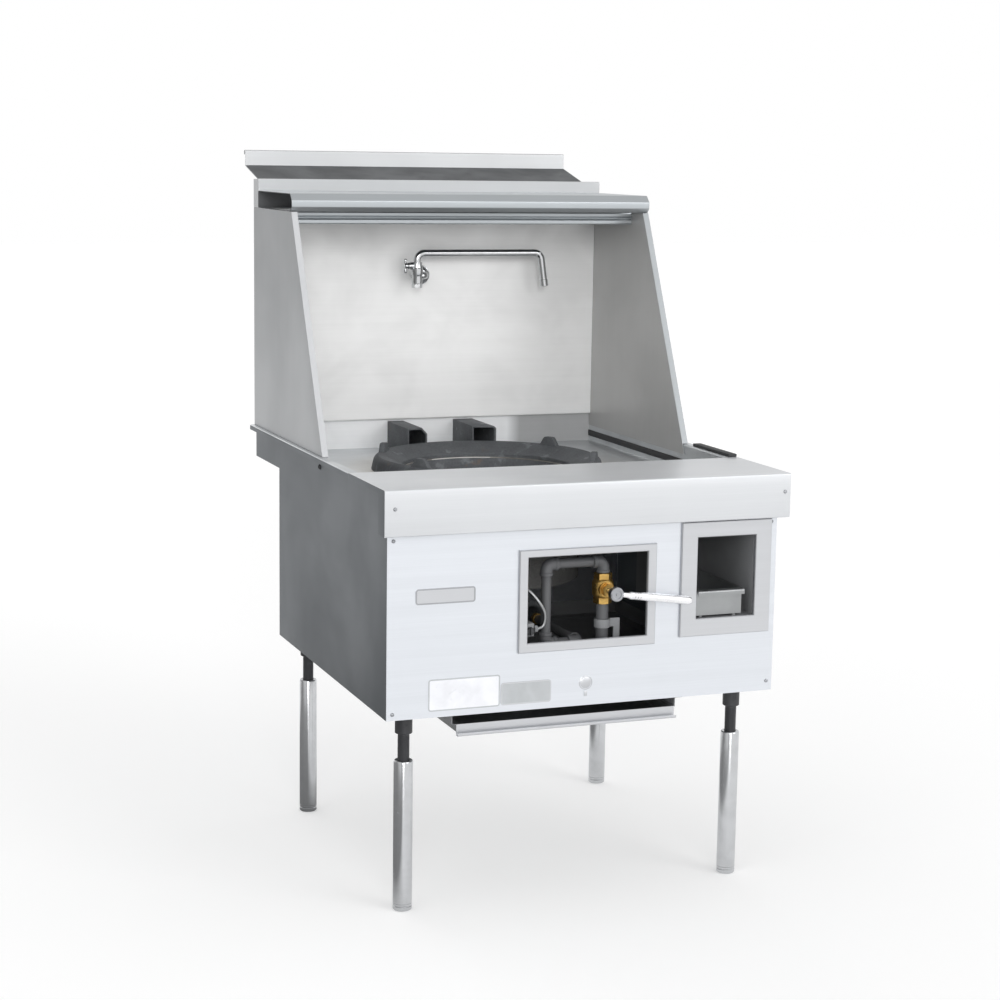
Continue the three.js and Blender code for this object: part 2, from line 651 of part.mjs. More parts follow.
// Upstand round the top of the flue, with a folded lip along its front.
function flueCollar() {
  const edge = SPLASH_OUTER - SHEET / 2;
  const front = BACKSPLASH_Y + 4 + SHEET / 2;
  const rear = DECK_DEPTH - GAP;
  const plan = foldedSheet([[-edge, rear], [-edge, front], [edge, front], [edge, rear]]);
  const bottom = SPLASH_TOP + GAP;
  const lip = alongX(
    foldedSheet([[front, COLLAR_TOP - 20], [front, COLLAR_TOP - SHEET / 2],
      [front + 13, COLLAR_TOP - SHEET / 2], [front + 13, COLLAR_TOP - 9]]),
    -edge, edge,
  );
  return join(alongZ(plan, bottom, COLLAR_TOP - SHEET / 2), lip);
}

// Sheet that rises from the back of the flue, leans back and ends in an upright face.
function flueDeflector() {
  const foot = DECK_DEPTH + GAP + SHEET / 2;
  const back = foot + DEFLECTOR_REACH;
  const lipFoot = DEFLECTOR_BEND + DEFLECTOR_RISE;
  const lipTop = lipFoot + DEFLECTOR_LIP;
  const line = [
    [foot, DEFLECTOR_FOOT], [foot, DEFLECTOR_BEND], [back, lipFoot],
    [back, lipTop], [back + DEFLECTOR_HEM, lipTop], [back + DEFLECTOR_HEM, lipTop - 10],
  ];
  const half = HALF_TOP - DEFLECTOR_INSET;
  return alongX(foldedSheet(line), -half, half);
}

// An upturned channel across the splashes, open at both ends, with a faceted nose.
function topShelf() {
  const front = SHELF_FRONT_Y + SHEET / 2;
  const back = BACKSPLASH_Y + 4 - GAP - SHEET / 2;
  const foot = SPLASH_TOP + GAP + SHEET / 2;
  const top = SPLASH_TOP + SHELF_RISE - SHEET / 2;
  const line = [
    [front + 42, foot], [front + 9, foot], [front, foot + 10], [front, foot + 24],
    [front + 15, top], [back, top], [back, foot], [back - 22, foot],
  ];
  return alongX(foldedSheet(line), -SPLASH_OUTER, SPLASH_OUTER);
}

function shelfRail() {
  const top = SPLASH_TOP - GAP - SHEET / 2;
  const bottom = top - SHELF_RAIL_HEIGHT;
  const front = SHELF_RAIL_Y + SHEET / 2;
  const line = [
    [front + 20, bottom + 8], [front + 20, bottom], [front, bottom], [front, bottom + 9],
    [front + 5, bottom + 14], [front, bottom + 19], [front, top], [front + 20, top],
  ];
  return alongX(foldedSheet(line, THIN_SHEET), -BETWEEN_SPLASHES, BETWEEN_SPLASHES);
}

const splash = sideSplash();
add('splash_right', splash, steel);
add('splash_left', splash.clone().scale(-1, 1, 1), steel);
add('backsplash', backsplash(), steel);
add('flue_riser', flueRiser(), darkSteel);
add('flue_collar', flueCollar(), steel);
add('flue_deflector', flueDeflector(), steel);
add('top_shelf', topShelf(), steel);
add('shelf_rail', shelfRail(), steel);

// ---- Wok ring, chamber and flue ports ----------------------------------------------------------

function ear(turn) {
  const half = 20;
  const shape = new THREE.Shape();
  shape.moveTo(-half - 10, 0);
  shape.lineTo(half + 10, 0);
  shape.quadraticCurveTo(half + 2, 4, half - 4, EAR_HEIGHT - 7);
  shape.quadraticCurveTo(half - 8, EAR_HEIGHT, half - 13, EAR_HEIGHT);
  shape.lineTo(13 - half, EAR_HEIGHT);
  shape.quadraticCurveTo(8 - half, EAR_HEIGHT, 4 - half, EAR_HEIGHT - 7);
  shape.quadraticCurveTo(-half - 2, 4, -half - 10, 0);
  const thickness = 13;
  const radius = RING_RADIUS - 26;
  const lug = alongY(shape, radius, radius + thickness).translate(0, 0, DECK_FLOOR + RING_HEIGHT - 5);
  return lug.rotateZ(turn - QUARTER_TURN).translate(0, CHAMBER_Y, 0);
}

// Cast ring: a conical skirt, a rounded lip and a seat that slopes in to the chamber.
function wokRing() {
  const foot = DECK_FLOOR + GAP;
  const top = DECK_FLOOR + RING_HEIGHT;
  const seat = CHAMBER_MOUTH + 4;
  const outer = RING_RADIUS;
  const profile = [
    [outer, foot], [outer - 5, top - 10], [outer - 10, top - 3], [outer - 16, top],
    [outer - 24, top - 1], [seat, foot + 9], [seat, foot], [seat + RING_WALL, foot],
    [seat + RING_WALL, foot + 5], [outer - 20, top - 9], [outer - 13, top - 12],
    [outer - RING_WALL, foot], [outer, foot],
  ];
  const ears = [EAR_ANGLE, 180 - EAR_ANGLE, 180 + EAR_ANGLE, -EAR_ANGLE].map(
    (degrees) => ear(THREE.MathUtils.degToRad(degrees)),
  );
  const windows = [-PORT_X, PORT_X].map((x) => box(
    x - PORT_WIDTH / 2 + PORT_WALL + 2, x + PORT_WIDTH / 2 - PORT_WALL - 2,
    CHAMBER_Y + RING_RADIUS - 60, CHAMBER_Y + RING_RADIUS + 20, foot - 1, foot + 15,
  ));
  return cut(join(lathe(profile, 0, CHAMBER_Y, 48), ...ears), ...windows);
}

// Cast duct from the ring to the flue, open at both ends, with one shoulder cut away.
function fluePort(x, chamfer) {
  const half = PORT_WIDTH / 2;
  const foot = DECK_FLOOR + GAP;
  const top = foot + PORT_HEIGHT;
  const outline = shapeOf([
    [x - half, foot], [x + half, foot], [x + half, top - chamfer], [x + half - chamfer, top],
    [x - half, top],
  ]);
  const inner = shapeOf([
    [x - half + PORT_WALL, foot + PORT_WALL], [x + half - PORT_WALL, foot + PORT_WALL],
    [x + half - PORT_WALL, top - chamfer - 2], [x + half - chamfer - 2, top - PORT_WALL],
    [x - half + PORT_WALL, top - PORT_WALL],
  ]);
  const front = CHAMBER_Y + RING_RADIUS - 50;
  const duct = alongY(outline, front, REAR_WALL_Y - GAP);
  const bore = alongY(inner, front - 5, REAR_WALL_Y + 5);
  const ringRoom = cylinderZ(RING_RADIUS + 1, 0, CHAMBER_Y, foot - 5, top + 5, 64);
  return cut(duct, bore, ringRoom);
}

function chamberShell() {
  const wall = CHAMBER_MOUTH + CHAMBER_WALL;
  const profile = [
    [CHAMBER_MOUTH, CHAMBER_TOP], [wall + 4, CHAMBER_TOP], [wall + 4, CHAMBER_TOP - 3],
    [wall, CHAMBER_TOP - 3], [wall, CHAMBER_BOTTOM], [CHAMBER_THROAT, CHAMBER_BOTTOM],
    [CHAMBER_THROAT, CHAMBER_BOTTOM + 20], [CHAMBER_THROAT + 38, CHAMBER_BOTTOM + 38],
    [CHAMBER_MOUTH - 22, CHAMBER_BOTTOM + 90], [CHAMBER_MOUTH - 6, CHAMBER_BOTTOM + 160],
    [CHAMBER_MOUTH, CHAMBER_TOP],
  ];
  return lathe(profile, 0, CHAMBER_Y, 40);
}

add('wok_ring', wokRing(), castIron);
add('flue_port_left', fluePort(-PORT_X, 16), castIron);
add('flue_port_right', fluePort(PORT_X, 5), castIron);
add('chamber_shell', chamberShell(), refractory);

// ---- Burner and gas train ----------------------------------------------------------------------

// Cast plenum with two circles of raised jets and one in the middle.
function burnerHead() {
  const z = HEAD_BOTTOM;
  const plenum = lathe(
    [[0, z], [30, z], [36, z + 6], [HEAD_RADIUS - 8, z + 10], [HEAD_RADIUS, z + 16],
      [HEAD_RADIUS, z + 26], [HEAD_RADIUS - 6, z + 30], [0, z + 34]],
    0, CHAMBER_Y, 28,
  );
  const rows = [[1, 0], [7, 34], [13, 64]];
  const jets = rows.flatMap(([count, radius]) => Array.from({ length: count }, (_, i) => {
    const turn = (2 * HALF_TURN * i) / count;
    const jet = lathe([[0, z + 26], [7, z + 26], [7, z + 45], [4, z + 52], [0, z + 52]], 0, 0, 6);
    return jet.translate(radius * Math.cos(turn), CHAMBER_Y + radius * Math.sin(turn), 0);
  }));
  return join(plenum, ...jets);
}

// Mixing tube: a bell mouth at the front, then an elbow up into the burner.
function burnerMixer() {
  const bellFront = ORIFICE_Y + 34;
  const points = roundCorners(
    [
      new THREE.Vector3(0, bellFront + 30, BURNER_PIPE_Z),
      new THREE.Vector3(0, CHAMBER_Y, BURNER_PIPE_Z),
      new THREE.Vector3(0, CHAMBER_Y, HEAD_BOTTOM - GAP),
    ],
    34, 5,
  );
  const bell = lathe(
    [[0, 0], [MIXER_RADIUS + 12, 0], [MIXER_RADIUS + 10, 6], [MIXER_RADIUS + 2, 20],
      [MIXER_RADIUS, 40], [0, 40]],
    0, 0, 18,
  ).rotateX(-QUARTER_TURN).translate(0, bellFront, BURNER_PIPE_Z);
  const bore = cylinderY(MIXER_RADIUS - 4, 0, BURNER_PIPE_Z, bellFront - 5, bellFront + 90);
  return cut(join(sweep(points, MIXER_RADIUS, 16), bell), bore);
}

function orificeSpud() {
  const profile = [[0, 0], [14, 0], [14, 12], [9, 14], [9, 22], [4, 30], [0, 30]];
  return lathe(profile, 0, 0, 6).rotateX(-QUARTER_TURN).translate(0, ORIFICE_Y + GAP, BURNER_PIPE_Z);
}

// Saddle that carries the mixing tube on a cross member of the base.
function burnerBracket() {
  const y = CROSS_REAR_Y + 4;
  const foot = BODY_BOTTOM + CROSS_HEIGHT + GAP;
  const arm = MIXER_RADIUS + 6;
  const outline = shapeOf([
    [-44, foot], [44, foot], [44, foot + 5], [arm + 3, foot + 12], [arm, BURNER_PIPE_Z],
    [-arm, BURNER_PIPE_Z], [-arm - 3, foot + 12], [-44, foot + 5],
  ]);
  const cradle = cylinderY(MIXER_RADIUS + 3 * GAP, 0, BURNER_PIPE_Z, y - 5, y + 30);
  return cut(alongY(outline, y, y + 24), cradle);
}

function gasInletPipe() {
  const corners = [
    [INLET_X, BODY_REAR + 43, INLET_Z],
    [INLET_X, PIPE_Y, INLET_Z],
    [VALVE_X, PIPE_Y, INLET_Z],
    [VALVE_X, PIPE_Y, VALVE_Z - VALVE_HALF],
  ];
  return pipeRun(corners, SUPPLY_RADIUS, 24);
}

function gasOutletPipe() {
  const corners = [
    [VALVE_X, PIPE_Y, VALVE_Z + VALVE_HALF + GAP],
    [VALVE_X, PIPE_Y, FEED_TOP_Z],
    [FEED_LEFT_X, PIPE_Y, FEED_TOP_Z],
    [FEED_LEFT_X, PIPE_Y, BURNER_PIPE_Z],
    [0, PIPE_Y, BURNER_PIPE_Z],
    [0, ORIFICE_Y, BURNER_PIPE_Z],
  ];
  return pipeRun(corners, FEED_RADIUS, 14);
}

// Brass valve: hexagon ends, a round barrel and a bonnet that the stem turns in.
function gasValveBody() {
  const low = VALVE_Z - VALVE_HALF + GAP;
  const high = VALVE_Z + VALVE_HALF;
  const hexagon = (z0, z1) => cylinderZ(20, VALVE_X, PIPE_Y, z0, z1, 6);
  const barrel = lathe(
    [[0, low + 12], [17, low + 12], [23, low + 20], [23, high - 20], [17, high - 12], [0, high - 12]],
    VALVE_X, PIPE_Y, 16,
  );
  const boss = cylinderY(17, VALVE_X, VALVE_Z, BONNET_FRONT + 12, PIPE_Y);
  const bonnet = cylinderY(14.5, VALVE_X, VALVE_Z, BONNET_FRONT, BONNET_FRONT + 13, 6);
  const bore = cylinderY(VALVE_STEM + RUNNING, VALVE_X, VALVE_Z, BONNET_FRONT - 5, BONNET_FRONT + 18);
  return cut(join(barrel, hexagon(low, low + 14), hexagon(high - 14, high), boss, bonnet), bore);
}

// Stem, hub and a round lever that points to the right and a little down.
function gasValveLever() {
  const stem = cylinderY(VALVE_STEM, 0, 0, LEVER_Y, BONNET_FRONT + 17);
  const hub = cylinderY(15, 0, 0, LEVER_Y - 8, LEVER_Y + 10, 20);
  const rod = lathe(
    [[0, 0], [6, 0], [6, 26], [LEVER_RADIUS, 32], [LEVER_RADIUS, LEVER_LENGTH - 5],
      [LEVER_RADIUS - 3, LEVER_LENGTH], [0, LEVER_LENGTH]],
    0, 0, 16,
  ).rotateY(QUARTER_TURN).translate(0, LEVER_Y, 0);
  const lever = join(hub, stem, rod);
  return lever.rotateY(THREE.MathUtils.degToRad(LEVER_DROP)).translate(VALVE_X, 0, VALVE_Z);
}

// Split clamp round the supply pipe with a foot on the back of the front panel.
function pipeClamp() {
  const z = PILOT_Z;
  const half = 9;
  const strap = 3;
  const x0 = VALVE_X + 26;
  const x1 = x0 + 14;
  const foot = WINDOW_BOTTOM - 30;
  const band = cylinderZ(SUPPLY_RADIUS + 4, VALVE_X, PIPE_Y, z - half, z + half);
  const tab = box(VALVE_X + 10, x1, PIPE_Y - strap, PIPE_Y + strap, z - half, z + half);
  const drop = box(x0, x1, PIPE_Y - strap, PIPE_Y + strap, foot, z);
  const base = box(x0, x1, PANEL_BACK, PIPE_Y, foot, foot + 2 * strap);
  const bore = cylinderZ(SUPPLY_RADIUS + 2 * GAP, VALVE_X, PIPE_Y, z - 20, z + 20);
  return cut(join(band, tab, drop, base), bore);
}

// Small pilot valve fed from the supply pipe by a nipple.
function pilotValve() {
  const block = box(
    PILOT_X - PILOT_HALF, PILOT_X + PILOT_HALF, PILOT_Y - 12, PILOT_Y + 26, PILOT_Z - 14, PILOT_Z + 14,
  );
  const nipple = cylinderZ(5, PILOT_X, PIPE_Y, INLET_Z + SUPPLY_RADIUS + GAP, PILOT_Z, 12);
  const bore = cylinderY(3.5, PILOT_X, PILOT_Z, PILOT_Y - 20, PILOT_Y, 16);
  return cut(join(block, nipple), bore);
}

function pilotKnob() {
  const front = PILOT_Y - 12 - GAP;
  const stem = cylinderY(3, 0, 0, front - 4, front + 10, 12);
  const grip = cylinderY(9, 0, 0, front - 9, front - 1, 14);
  const wing = box(-2, 2, front - 14, front - 8, -8, 8);
  return join(grip, stem, wing).translate(PILOT_X, 0, PILOT_Z);
}

// Chrome tube that curls up inside the window, then runs back to the pilot burner.
function pilotTube() {
  const start = PILOT_X + PILOT_HALF + GAP;
  const hand = [
    [start, 52, PILOT_Z + 2], [start + 8, 52, PILOT_Z + 2], [start + 20, 52, PILOT_Z + 8],
    [start + 23, 52, PILOT_Z + 34], [start + 8, 56, PILOT_Z + 62], [start - 14, 70, PILOT_Z + 86],
    [-150, 110, PILOT_Z + 92], [-165, 200, PILOT_Z + 50], [-160, 340, BURNER_PIPE_Z + 12],
    [-130, 500, BURNER_PIPE_Z], [PILOT_BURNER_X - 6, CHAMBER_Y - 40, BURNER_PIPE_Z],
    [PILOT_BURNER_X, CHAMBER_Y, BURNER_PIPE_Z + 30], [PILOT_BURNER_X, CHAMBER_Y, HEAD_BOTTOM + 4],
    [PILOT_BURNER_X, CHAMBER_Y, HEAD_BOTTOM + 8],
  ].map(([x, y, z]) => new THREE.Vector3(x, y, z));
  const route = new THREE.CatmullRomCurve3(hand, false, 'centripetal');
  return new THREE.ExtrudeGeometry(disc(PILOT_TUBE_RADIUS, 6), { steps: 32, extrudePath: route });
}

function pilotBurner() {
  const z = HEAD_BOTTOM + 8 + GAP;
  return lathe([[0, z], [7, z], [7, z + 12], [4, z + 20], [0, z + 20]], PILOT_BURNER_X, CHAMBER_Y, 10);
}

add('burner_head', burnerHead(), castIron);
add('burner_mixer', burnerMixer(), castIron);
add('burner_bracket', burnerBracket(), darkSteel);
add('orifice_spud', orificeSpud(), brass);
add('gas_inlet_pipe', gasInletPipe(), blackPaint);
add('gas_outlet_pipe', gasOutletPipe(), blackPaint);
add('gas_valve_body', gasValveBody(), brass);
add('gas_valve_lever', gasValveLever(), chrome);
add('pipe_clamp', pipeClamp(), darkSteel);
add('pilot_valve', pilotValve(), darkSteel);
add('pilot_knob', pilotKnob(), blackPaint);
add('pilot_tube', pilotTube(), chrome);
add('pilot_burner', pilotBurner(), brass);

// ---- Front openings ----------------------------------------------------------------------------

// A raised frame with chamfered edges round an opening of the front panel.
function openingFrame(x0, x1, z0, z1, border, borderTop) {
  const chamfer = 1.6;
  const outer = rectangle(x0 - border + chamfer, x1 + border - chamfer,
    z0 - border + chamfer, z1 + borderTop - chamfer);
  outer.holes.push(rectangle(x0 - chamfer, x1 + chamfer, z0 - chamfer, z1 + chamfer));
  const geometry = new THREE.ExtrudeGeometry(outer, {
    depth: FRAME_THICK - 2 * chamfer, bevelThickness: chamfer, bevelSize: chamfer, bevelSegments: 1,
  });
  return geometry.rotateX(QUARTER_TURN).translate(0, PANEL_SETBACK - GAP - chamfer, 0);
}

function binHousing() {
  const x0 = BIN_X - BIN_OPENING_HALF - 2;
  const x1 = BIN_X + BIN_OPENING_HALF + 2;
  const z0 = BIN_OPENING_BOTTOM - 2;
  const z1 = BIN_OPENING_TOP + 2;
  const shell = cut(
    box(x0, x1, PANEL_BACK, HOUSING_REAR, z0, z1),
    box(x0 + THIN_SHEET, x1 - THIN_SHEET, PANEL_BACK - 5, HOUSING_REAR - THIN_SHEET,
      z0 + THIN_SHEET, z1 - THIN_SHEET),
    cylinderZ(DRAIN_RADIUS + 2, BIN_X, DRAIN_Y, z1 - 10, z1 + 10, 28),
  );
  const floor = z0 + THIN_SHEET;
  const runners = [BIN_LEFT + 12, BIN_LEFT + BIN_WIDTH - 18].map((x) => box(
    x, x + 6, PANEL_BACK + 8, HOUSING_REAR - THIN_SHEET + 0.1, floor - 0.1, floor + BIN_RUNNER,
  ));
  return join(shell, ...runners);
}

// A lift-out bin with a rolled front rim. It stands at the left of its housing.
function catchBin() {
  const floor = BIN_OPENING_BOTTOM - 2 + THIN_SHEET + BIN_RUNNER + GAP;
  const top = floor + BIN_HEIGHT;
  const front = PANEL_BACK + 4;
  const rear = HOUSING_REAR - THIN_SHEET - 3;
  const right = BIN_LEFT + BIN_WIDTH;
  const shell = cut(
    box(BIN_LEFT, right, front, rear, floor, top),
    box(BIN_LEFT + THIN_SHEET, right - THIN_SHEET, front + THIN_SHEET, rear - THIN_SHEET,
      floor + THIN_SHEET, top + 5),
  );
  const rim = alongX(
    foldedSheet([[front + 1, top - 0.8], [front - 14, top - 0.8], [front - 14, top - 11]], THIN_SHEET),
    BIN_LEFT, right,
  );
  return join(shell, rim);
}

add('window_frame', openingFrame(
  -WINDOW_HALF, WINDOW_HALF, WINDOW_BOTTOM, WINDOW_TOP, WINDOW_BORDER, WINDOW_BORDER - 4,
), steel);
add('bin_frame', openingFrame(
  BIN_X - BIN_OPENING_HALF, BIN_X + BIN_OPENING_HALF, BIN_OPENING_BOTTOM, BIN_OPENING_TOP,
  BIN_BORDER, BIN_BORDER - 4,
), steel);
add('bin_housing', binHousing(), darkSteel);
add('catch_bin', catchBin(), steel);

// ---- Crumb tray --------------------------------------------------------------------------------

// A folded pan with wings that ride on the rails. Its front is closed by the tray's front strip.
function crumbTray() {
  const half = THIN_SHEET / 2;
  const wall = TRAY_HALF - 8;
  const top = TRAY_FLOOR + TRAY_WALL;
  const front = TRAY_STRIP_Y + half + GAP;
  const rear = TRAY_FRONT_Y + TRAY_DEPTH;
  const pan = alongY(
    foldedSheet([[-wall - TRAY_WING, top], [-wall, top], [-wall, TRAY_FLOOR + half],
      [wall, TRAY_FLOOR + half], [wall, top], [wall + TRAY_WING, top]], THIN_SHEET),
    front, rear,
  );
  const back = box(-wall, wall, rear - THIN_SHEET, rear, TRAY_FLOOR + half, top);
  return join(pan, back).translate(TRAY_X, 0, 0);
}

// Folded strip on the pan's front, with a finger lip along its foot.
function trayFront() {
  const foot = TRAY_FLOOR + THIN_SHEET / 2;
  const top = TRAY_FLOOR + TRAY_WALL + THIN_SHEET / 2;
  const lip = TRAY_STRIP_Y - 12;
  const line = [[lip, foot + 5], [lip, foot], [TRAY_STRIP_Y, foot], [TRAY_STRIP_Y, top]];
  return alongX(foldedSheet(line, THIN_SHEET), TRAY_X - TRAY_HALF, TRAY_X + TRAY_HALF);
}

// A Z-shaped rail: its top flange meets the base, its bottom flange carries the tray.
function trayRail(hand) {
  const carry = TRAY_FLOOR + TRAY_WALL - THIN_SHEET / 2 - GAP - SHEET / 2;
  const wing = TRAY_HALF - 8 + TRAY_WING;
  const web = wing + BEND + GAP + SHEET / 2;
  const top = BODY_BOTTOM - GAP - SHEET / 2;
  const line = [[wing - TRAY_WING + 4, carry], [web, carry], [web, top], [web + 18, top]];
  const rail = alongY(foldedSheet(line), PANEL_BACK + 4, TRAY_FRONT_Y + TRAY_DEPTH + 30);
  return rail.scale(hand, 1, 1).translate(TRAY_X, 0, 0);
}

add('crumb_tray', crumbTray(), steel);
add('tray_front', trayFront(), steel);
add('tray_rail_left', trayRail(-1), darkSteel);
add('tray_rail_right', trayRail(1), darkSteel);

// ---- Faucet ------------------------------------------------------------------------------------

function faucetBody() {
  const flange = lathe([[0, 0], [24, 0], [24, 3], [14, 9], [0, 9]], 0, 0, 20)
    .rotateX(QUARTER_TURN).translate(FAUCET_FLANGE_X, BACKSPLASH_Y - GAP, FAUCET_Z);
  const arm = sweep(
    roundCorners(
      [
        new THREE.Vector3(FAUCET_FLANGE_X, BACKSPLASH_Y - 4, FAUCET_Z),
        new THREE.Vector3(FAUCET_FLANGE_X, FAUCET_Y, FAUCET_Z),
        new THREE.Vector3(FAUCET_X, FAUCET_Y, FAUCET_Z),
      ],
      14, 5,
    ),
    9, 12,
  );
  const low = FAUCET_Z - 15;
  const body = lathe(
    [[0, low], [9, low], [13, low + 5], [13, low + 24], [15, low + 28], [15, low + 42],
      [12, FAUCET_TOP - 6], [12, FAUCET_TOP], [0, FAUCET_TOP]],
    FAUCET_X, FAUCET_Y, 16,
  );
  const neck = new THREE.CylinderGeometry(8.5, 8.5, 20, 12).rotateZ(QUARTER_TURN)
    .translate(FAUCET_X - 14, FAUCET_Y, HANDLE_Z);
  const clear = HANDLE_STEM + RUNNING;
  const bore = new THREE.CylinderGeometry(clear, clear, 16, 12).rotateZ(QUARTER_TURN)
    .translate(FAUCET_X - 20, FAUCET_Y, HANDLE_Z);
  return cut(join(body, flange, arm, neck), bore);
}

// Swivelling spout: a nut on the body, a long level run and a turned-down end.
function faucetSpout() {
  const foot = FAUCET_TOP + GAP;
  const nut = lathe([[0, foot], [13, foot], [13, foot + 9], [10, foot + 13], [0, foot + 13]],
    FAUCET_X, FAUCET_Y, 12);
  const corners = [
    [FAUCET_X, FAUCET_Y, foot + 2],
    [FAUCET_X, FAUCET_Y, SPOUT_Z],
    [FAUCET_X + SPOUT_RUN - 12, FAUCET_Y, SPOUT_Z],
    [FAUCET_X + SPOUT_RUN, FAUCET_Y, SPOUT_Z - SPOUT_DROP],
  ].map(([x, y, z]) => new THREE.Vector3(x, y, z));
  return join(nut, sweep(roundCorners(corners, 18, 5), SPOUT_RADIUS, 12));
}

function faucetHandle() {
  const x = FAUCET_X - 24 - GAP;
  const stem = new THREE.CylinderGeometry(HANDLE_STEM, HANDLE_STEM, 16, 14).rotateZ(QUARTER_TURN)
    .translate(x + 4, FAUCET_Y, HANDLE_Z);
  const hub = new THREE.CylinderGeometry(7, 7.5, 9, 16).rotateZ(QUARTER_TURN)
    .translate(x - 4.5, FAUCET_Y, HANDLE_Z);
  const wing = new THREE.CapsuleGeometry(4, 28, 2, 8).rotateX(QUARTER_TURN)
    .translate(x - 6, FAUCET_Y, HANDLE_Z);
  return join(hub, stem, wing);
}

add('faucet_body', faucetBody(), chrome);
add('faucet_spout', faucetSpout(), chrome);
add('faucet_handle', faucetHandle(), chrome);
add('water_inlet', cylinderY(
  WATER_RADIUS, FAUCET_FLANGE_X, FAUCET_Z, BACKSPLASH_Y + GAP, DECK_DEPTH + 26, 16,
), brass);

// ---- Legs --------------------------------------------------------------------------------------

// Black socket with a mounting plate and the threaded stem that the leg screws on to.
function legSocket(x, y) {
  const top = BODY_BOTTOM - GAP;
  const plate = box(x - 30, x + 30, y - 30, y + 30, top - 4, top);
  const turned = lathe(
    [[0, STEM_BOTTOM], [STEM_RADIUS, STEM_BOTTOM], [STEM_RADIUS, SOCKET_BOTTOM],
      [SOCKET_RADIUS, SOCKET_BOTTOM], [SOCKET_RADIUS, top - 8], [SOCKET_RADIUS + 4, top - 3], [0, top - 3]],
    x, y, LEG_SIDES,
  );
  return join(plate, turned);
}

function legTube(x, y) {
  const bottom = FOOT_HEIGHT + GAP;
  const inner = LEG_RADIUS - LEG_WALL;
  const throat = STEM_RADIUS + RUNNING;
  const profile = [
    [inner, bottom], [LEG_RADIUS, bottom], [LEG_RADIUS, LEG_TOP - 2], [LEG_RADIUS - 2, LEG_TOP],
    [throat, LEG_TOP], [throat, LEG_TOP - 22], [inner, LEG_TOP - 22], [inner, bottom],
  ];
  return lathe(profile, x, y, LEG_SIDES);
}

function legFoot(x, y) {
  const plug = LEG_RADIUS - LEG_WALL - GAP;
  const profile = [
    [0, 0], [LEG_RADIUS - 4, 0], [LEG_RADIUS, 4], [LEG_RADIUS, FOOT_HEIGHT],
    [plug, FOOT_HEIGHT], [plug, FOOT_HEIGHT + 18], [0, FOOT_HEIGHT + 18],
  ];
  return lathe(profile, x, y, LEG_SIDES);
}

const legs = [
  ['front_left', -LEG_X, LEG_FRONT_Y],
  ['front_right', LEG_X, LEG_FRONT_Y],
  ['rear_left', -LEG_X, LEG_REAR_Y],
  ['rear_right', LEG_X, LEG_REAR_Y],
];
legs.forEach(([place, x, y]) => {
  add(`leg_socket_${place}`, legSocket(x, y), blackPaint);
  add(`leg_tube_${place}`, legTube(x, y), chrome);
  add(`leg_foot_${place}`, legFoot(x, y), chrome);
});

// ---- Frame: the origin is on the floor, in the middle of the whole length ----------------------

const foremost = LEVER_Y - LEVER_RADIUS;
const rearmost = DECK_DEPTH + GAP + SHEET / 2 + DEFLECTOR_REACH + DEFLECTOR_HEM + SHEET / 2;
range.position.y = -(foremost + rearmost) / 2;

export default range;
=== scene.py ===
"""Wok range: finishes, castings, turned pieces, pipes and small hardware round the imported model."""

import math

import bmesh
import bpy
from mathutils import Matrix, Quaternion, Vector


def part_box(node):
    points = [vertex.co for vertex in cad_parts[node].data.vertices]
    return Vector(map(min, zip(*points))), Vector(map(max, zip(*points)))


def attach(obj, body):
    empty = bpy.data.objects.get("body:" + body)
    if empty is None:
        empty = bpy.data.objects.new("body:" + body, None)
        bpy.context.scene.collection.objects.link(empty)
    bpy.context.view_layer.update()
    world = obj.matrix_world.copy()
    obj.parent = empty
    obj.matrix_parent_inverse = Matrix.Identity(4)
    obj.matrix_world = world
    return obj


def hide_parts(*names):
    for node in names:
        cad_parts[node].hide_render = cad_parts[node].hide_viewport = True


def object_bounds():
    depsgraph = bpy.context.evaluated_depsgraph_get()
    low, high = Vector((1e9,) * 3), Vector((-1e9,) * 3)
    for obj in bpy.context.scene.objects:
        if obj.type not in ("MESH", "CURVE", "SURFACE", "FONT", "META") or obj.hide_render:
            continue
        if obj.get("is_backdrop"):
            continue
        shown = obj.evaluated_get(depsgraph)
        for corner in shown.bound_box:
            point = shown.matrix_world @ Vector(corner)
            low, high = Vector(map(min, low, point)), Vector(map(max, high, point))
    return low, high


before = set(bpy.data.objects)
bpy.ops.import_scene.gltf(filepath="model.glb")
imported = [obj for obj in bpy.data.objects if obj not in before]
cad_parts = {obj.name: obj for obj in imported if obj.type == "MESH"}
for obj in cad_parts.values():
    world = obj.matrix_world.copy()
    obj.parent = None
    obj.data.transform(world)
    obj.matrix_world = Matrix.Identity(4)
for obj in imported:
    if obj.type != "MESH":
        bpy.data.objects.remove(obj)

CAD_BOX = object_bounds()

bl_info = {
    "name": "Wok range",
    "version": (1, 0, 0),
    "blender": (4, 5, 0),
    "location": "View3D > Sidebar > Wok range",
    "description": "Finishes a packed wok range: castings, pipes, faucet, legs, hardware and stage",
    "category": "Object",
}

MM = 0.001
APRON_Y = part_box("landing_ledge")[0].y
ACROSS, BACK, UP = Vector((1, 0, 0)), Vector((0, 1, 0)), Vector((0, 0, 1))
CORNERS = ("front_left", "front_right", "rear_left", "rear_right")


def at(x, y, z):
    """A place given in millimetres across, back from the apron and up, in the frame's metres."""
    return Vector((x * MM, APRON_Y + y * MM, z * MM))


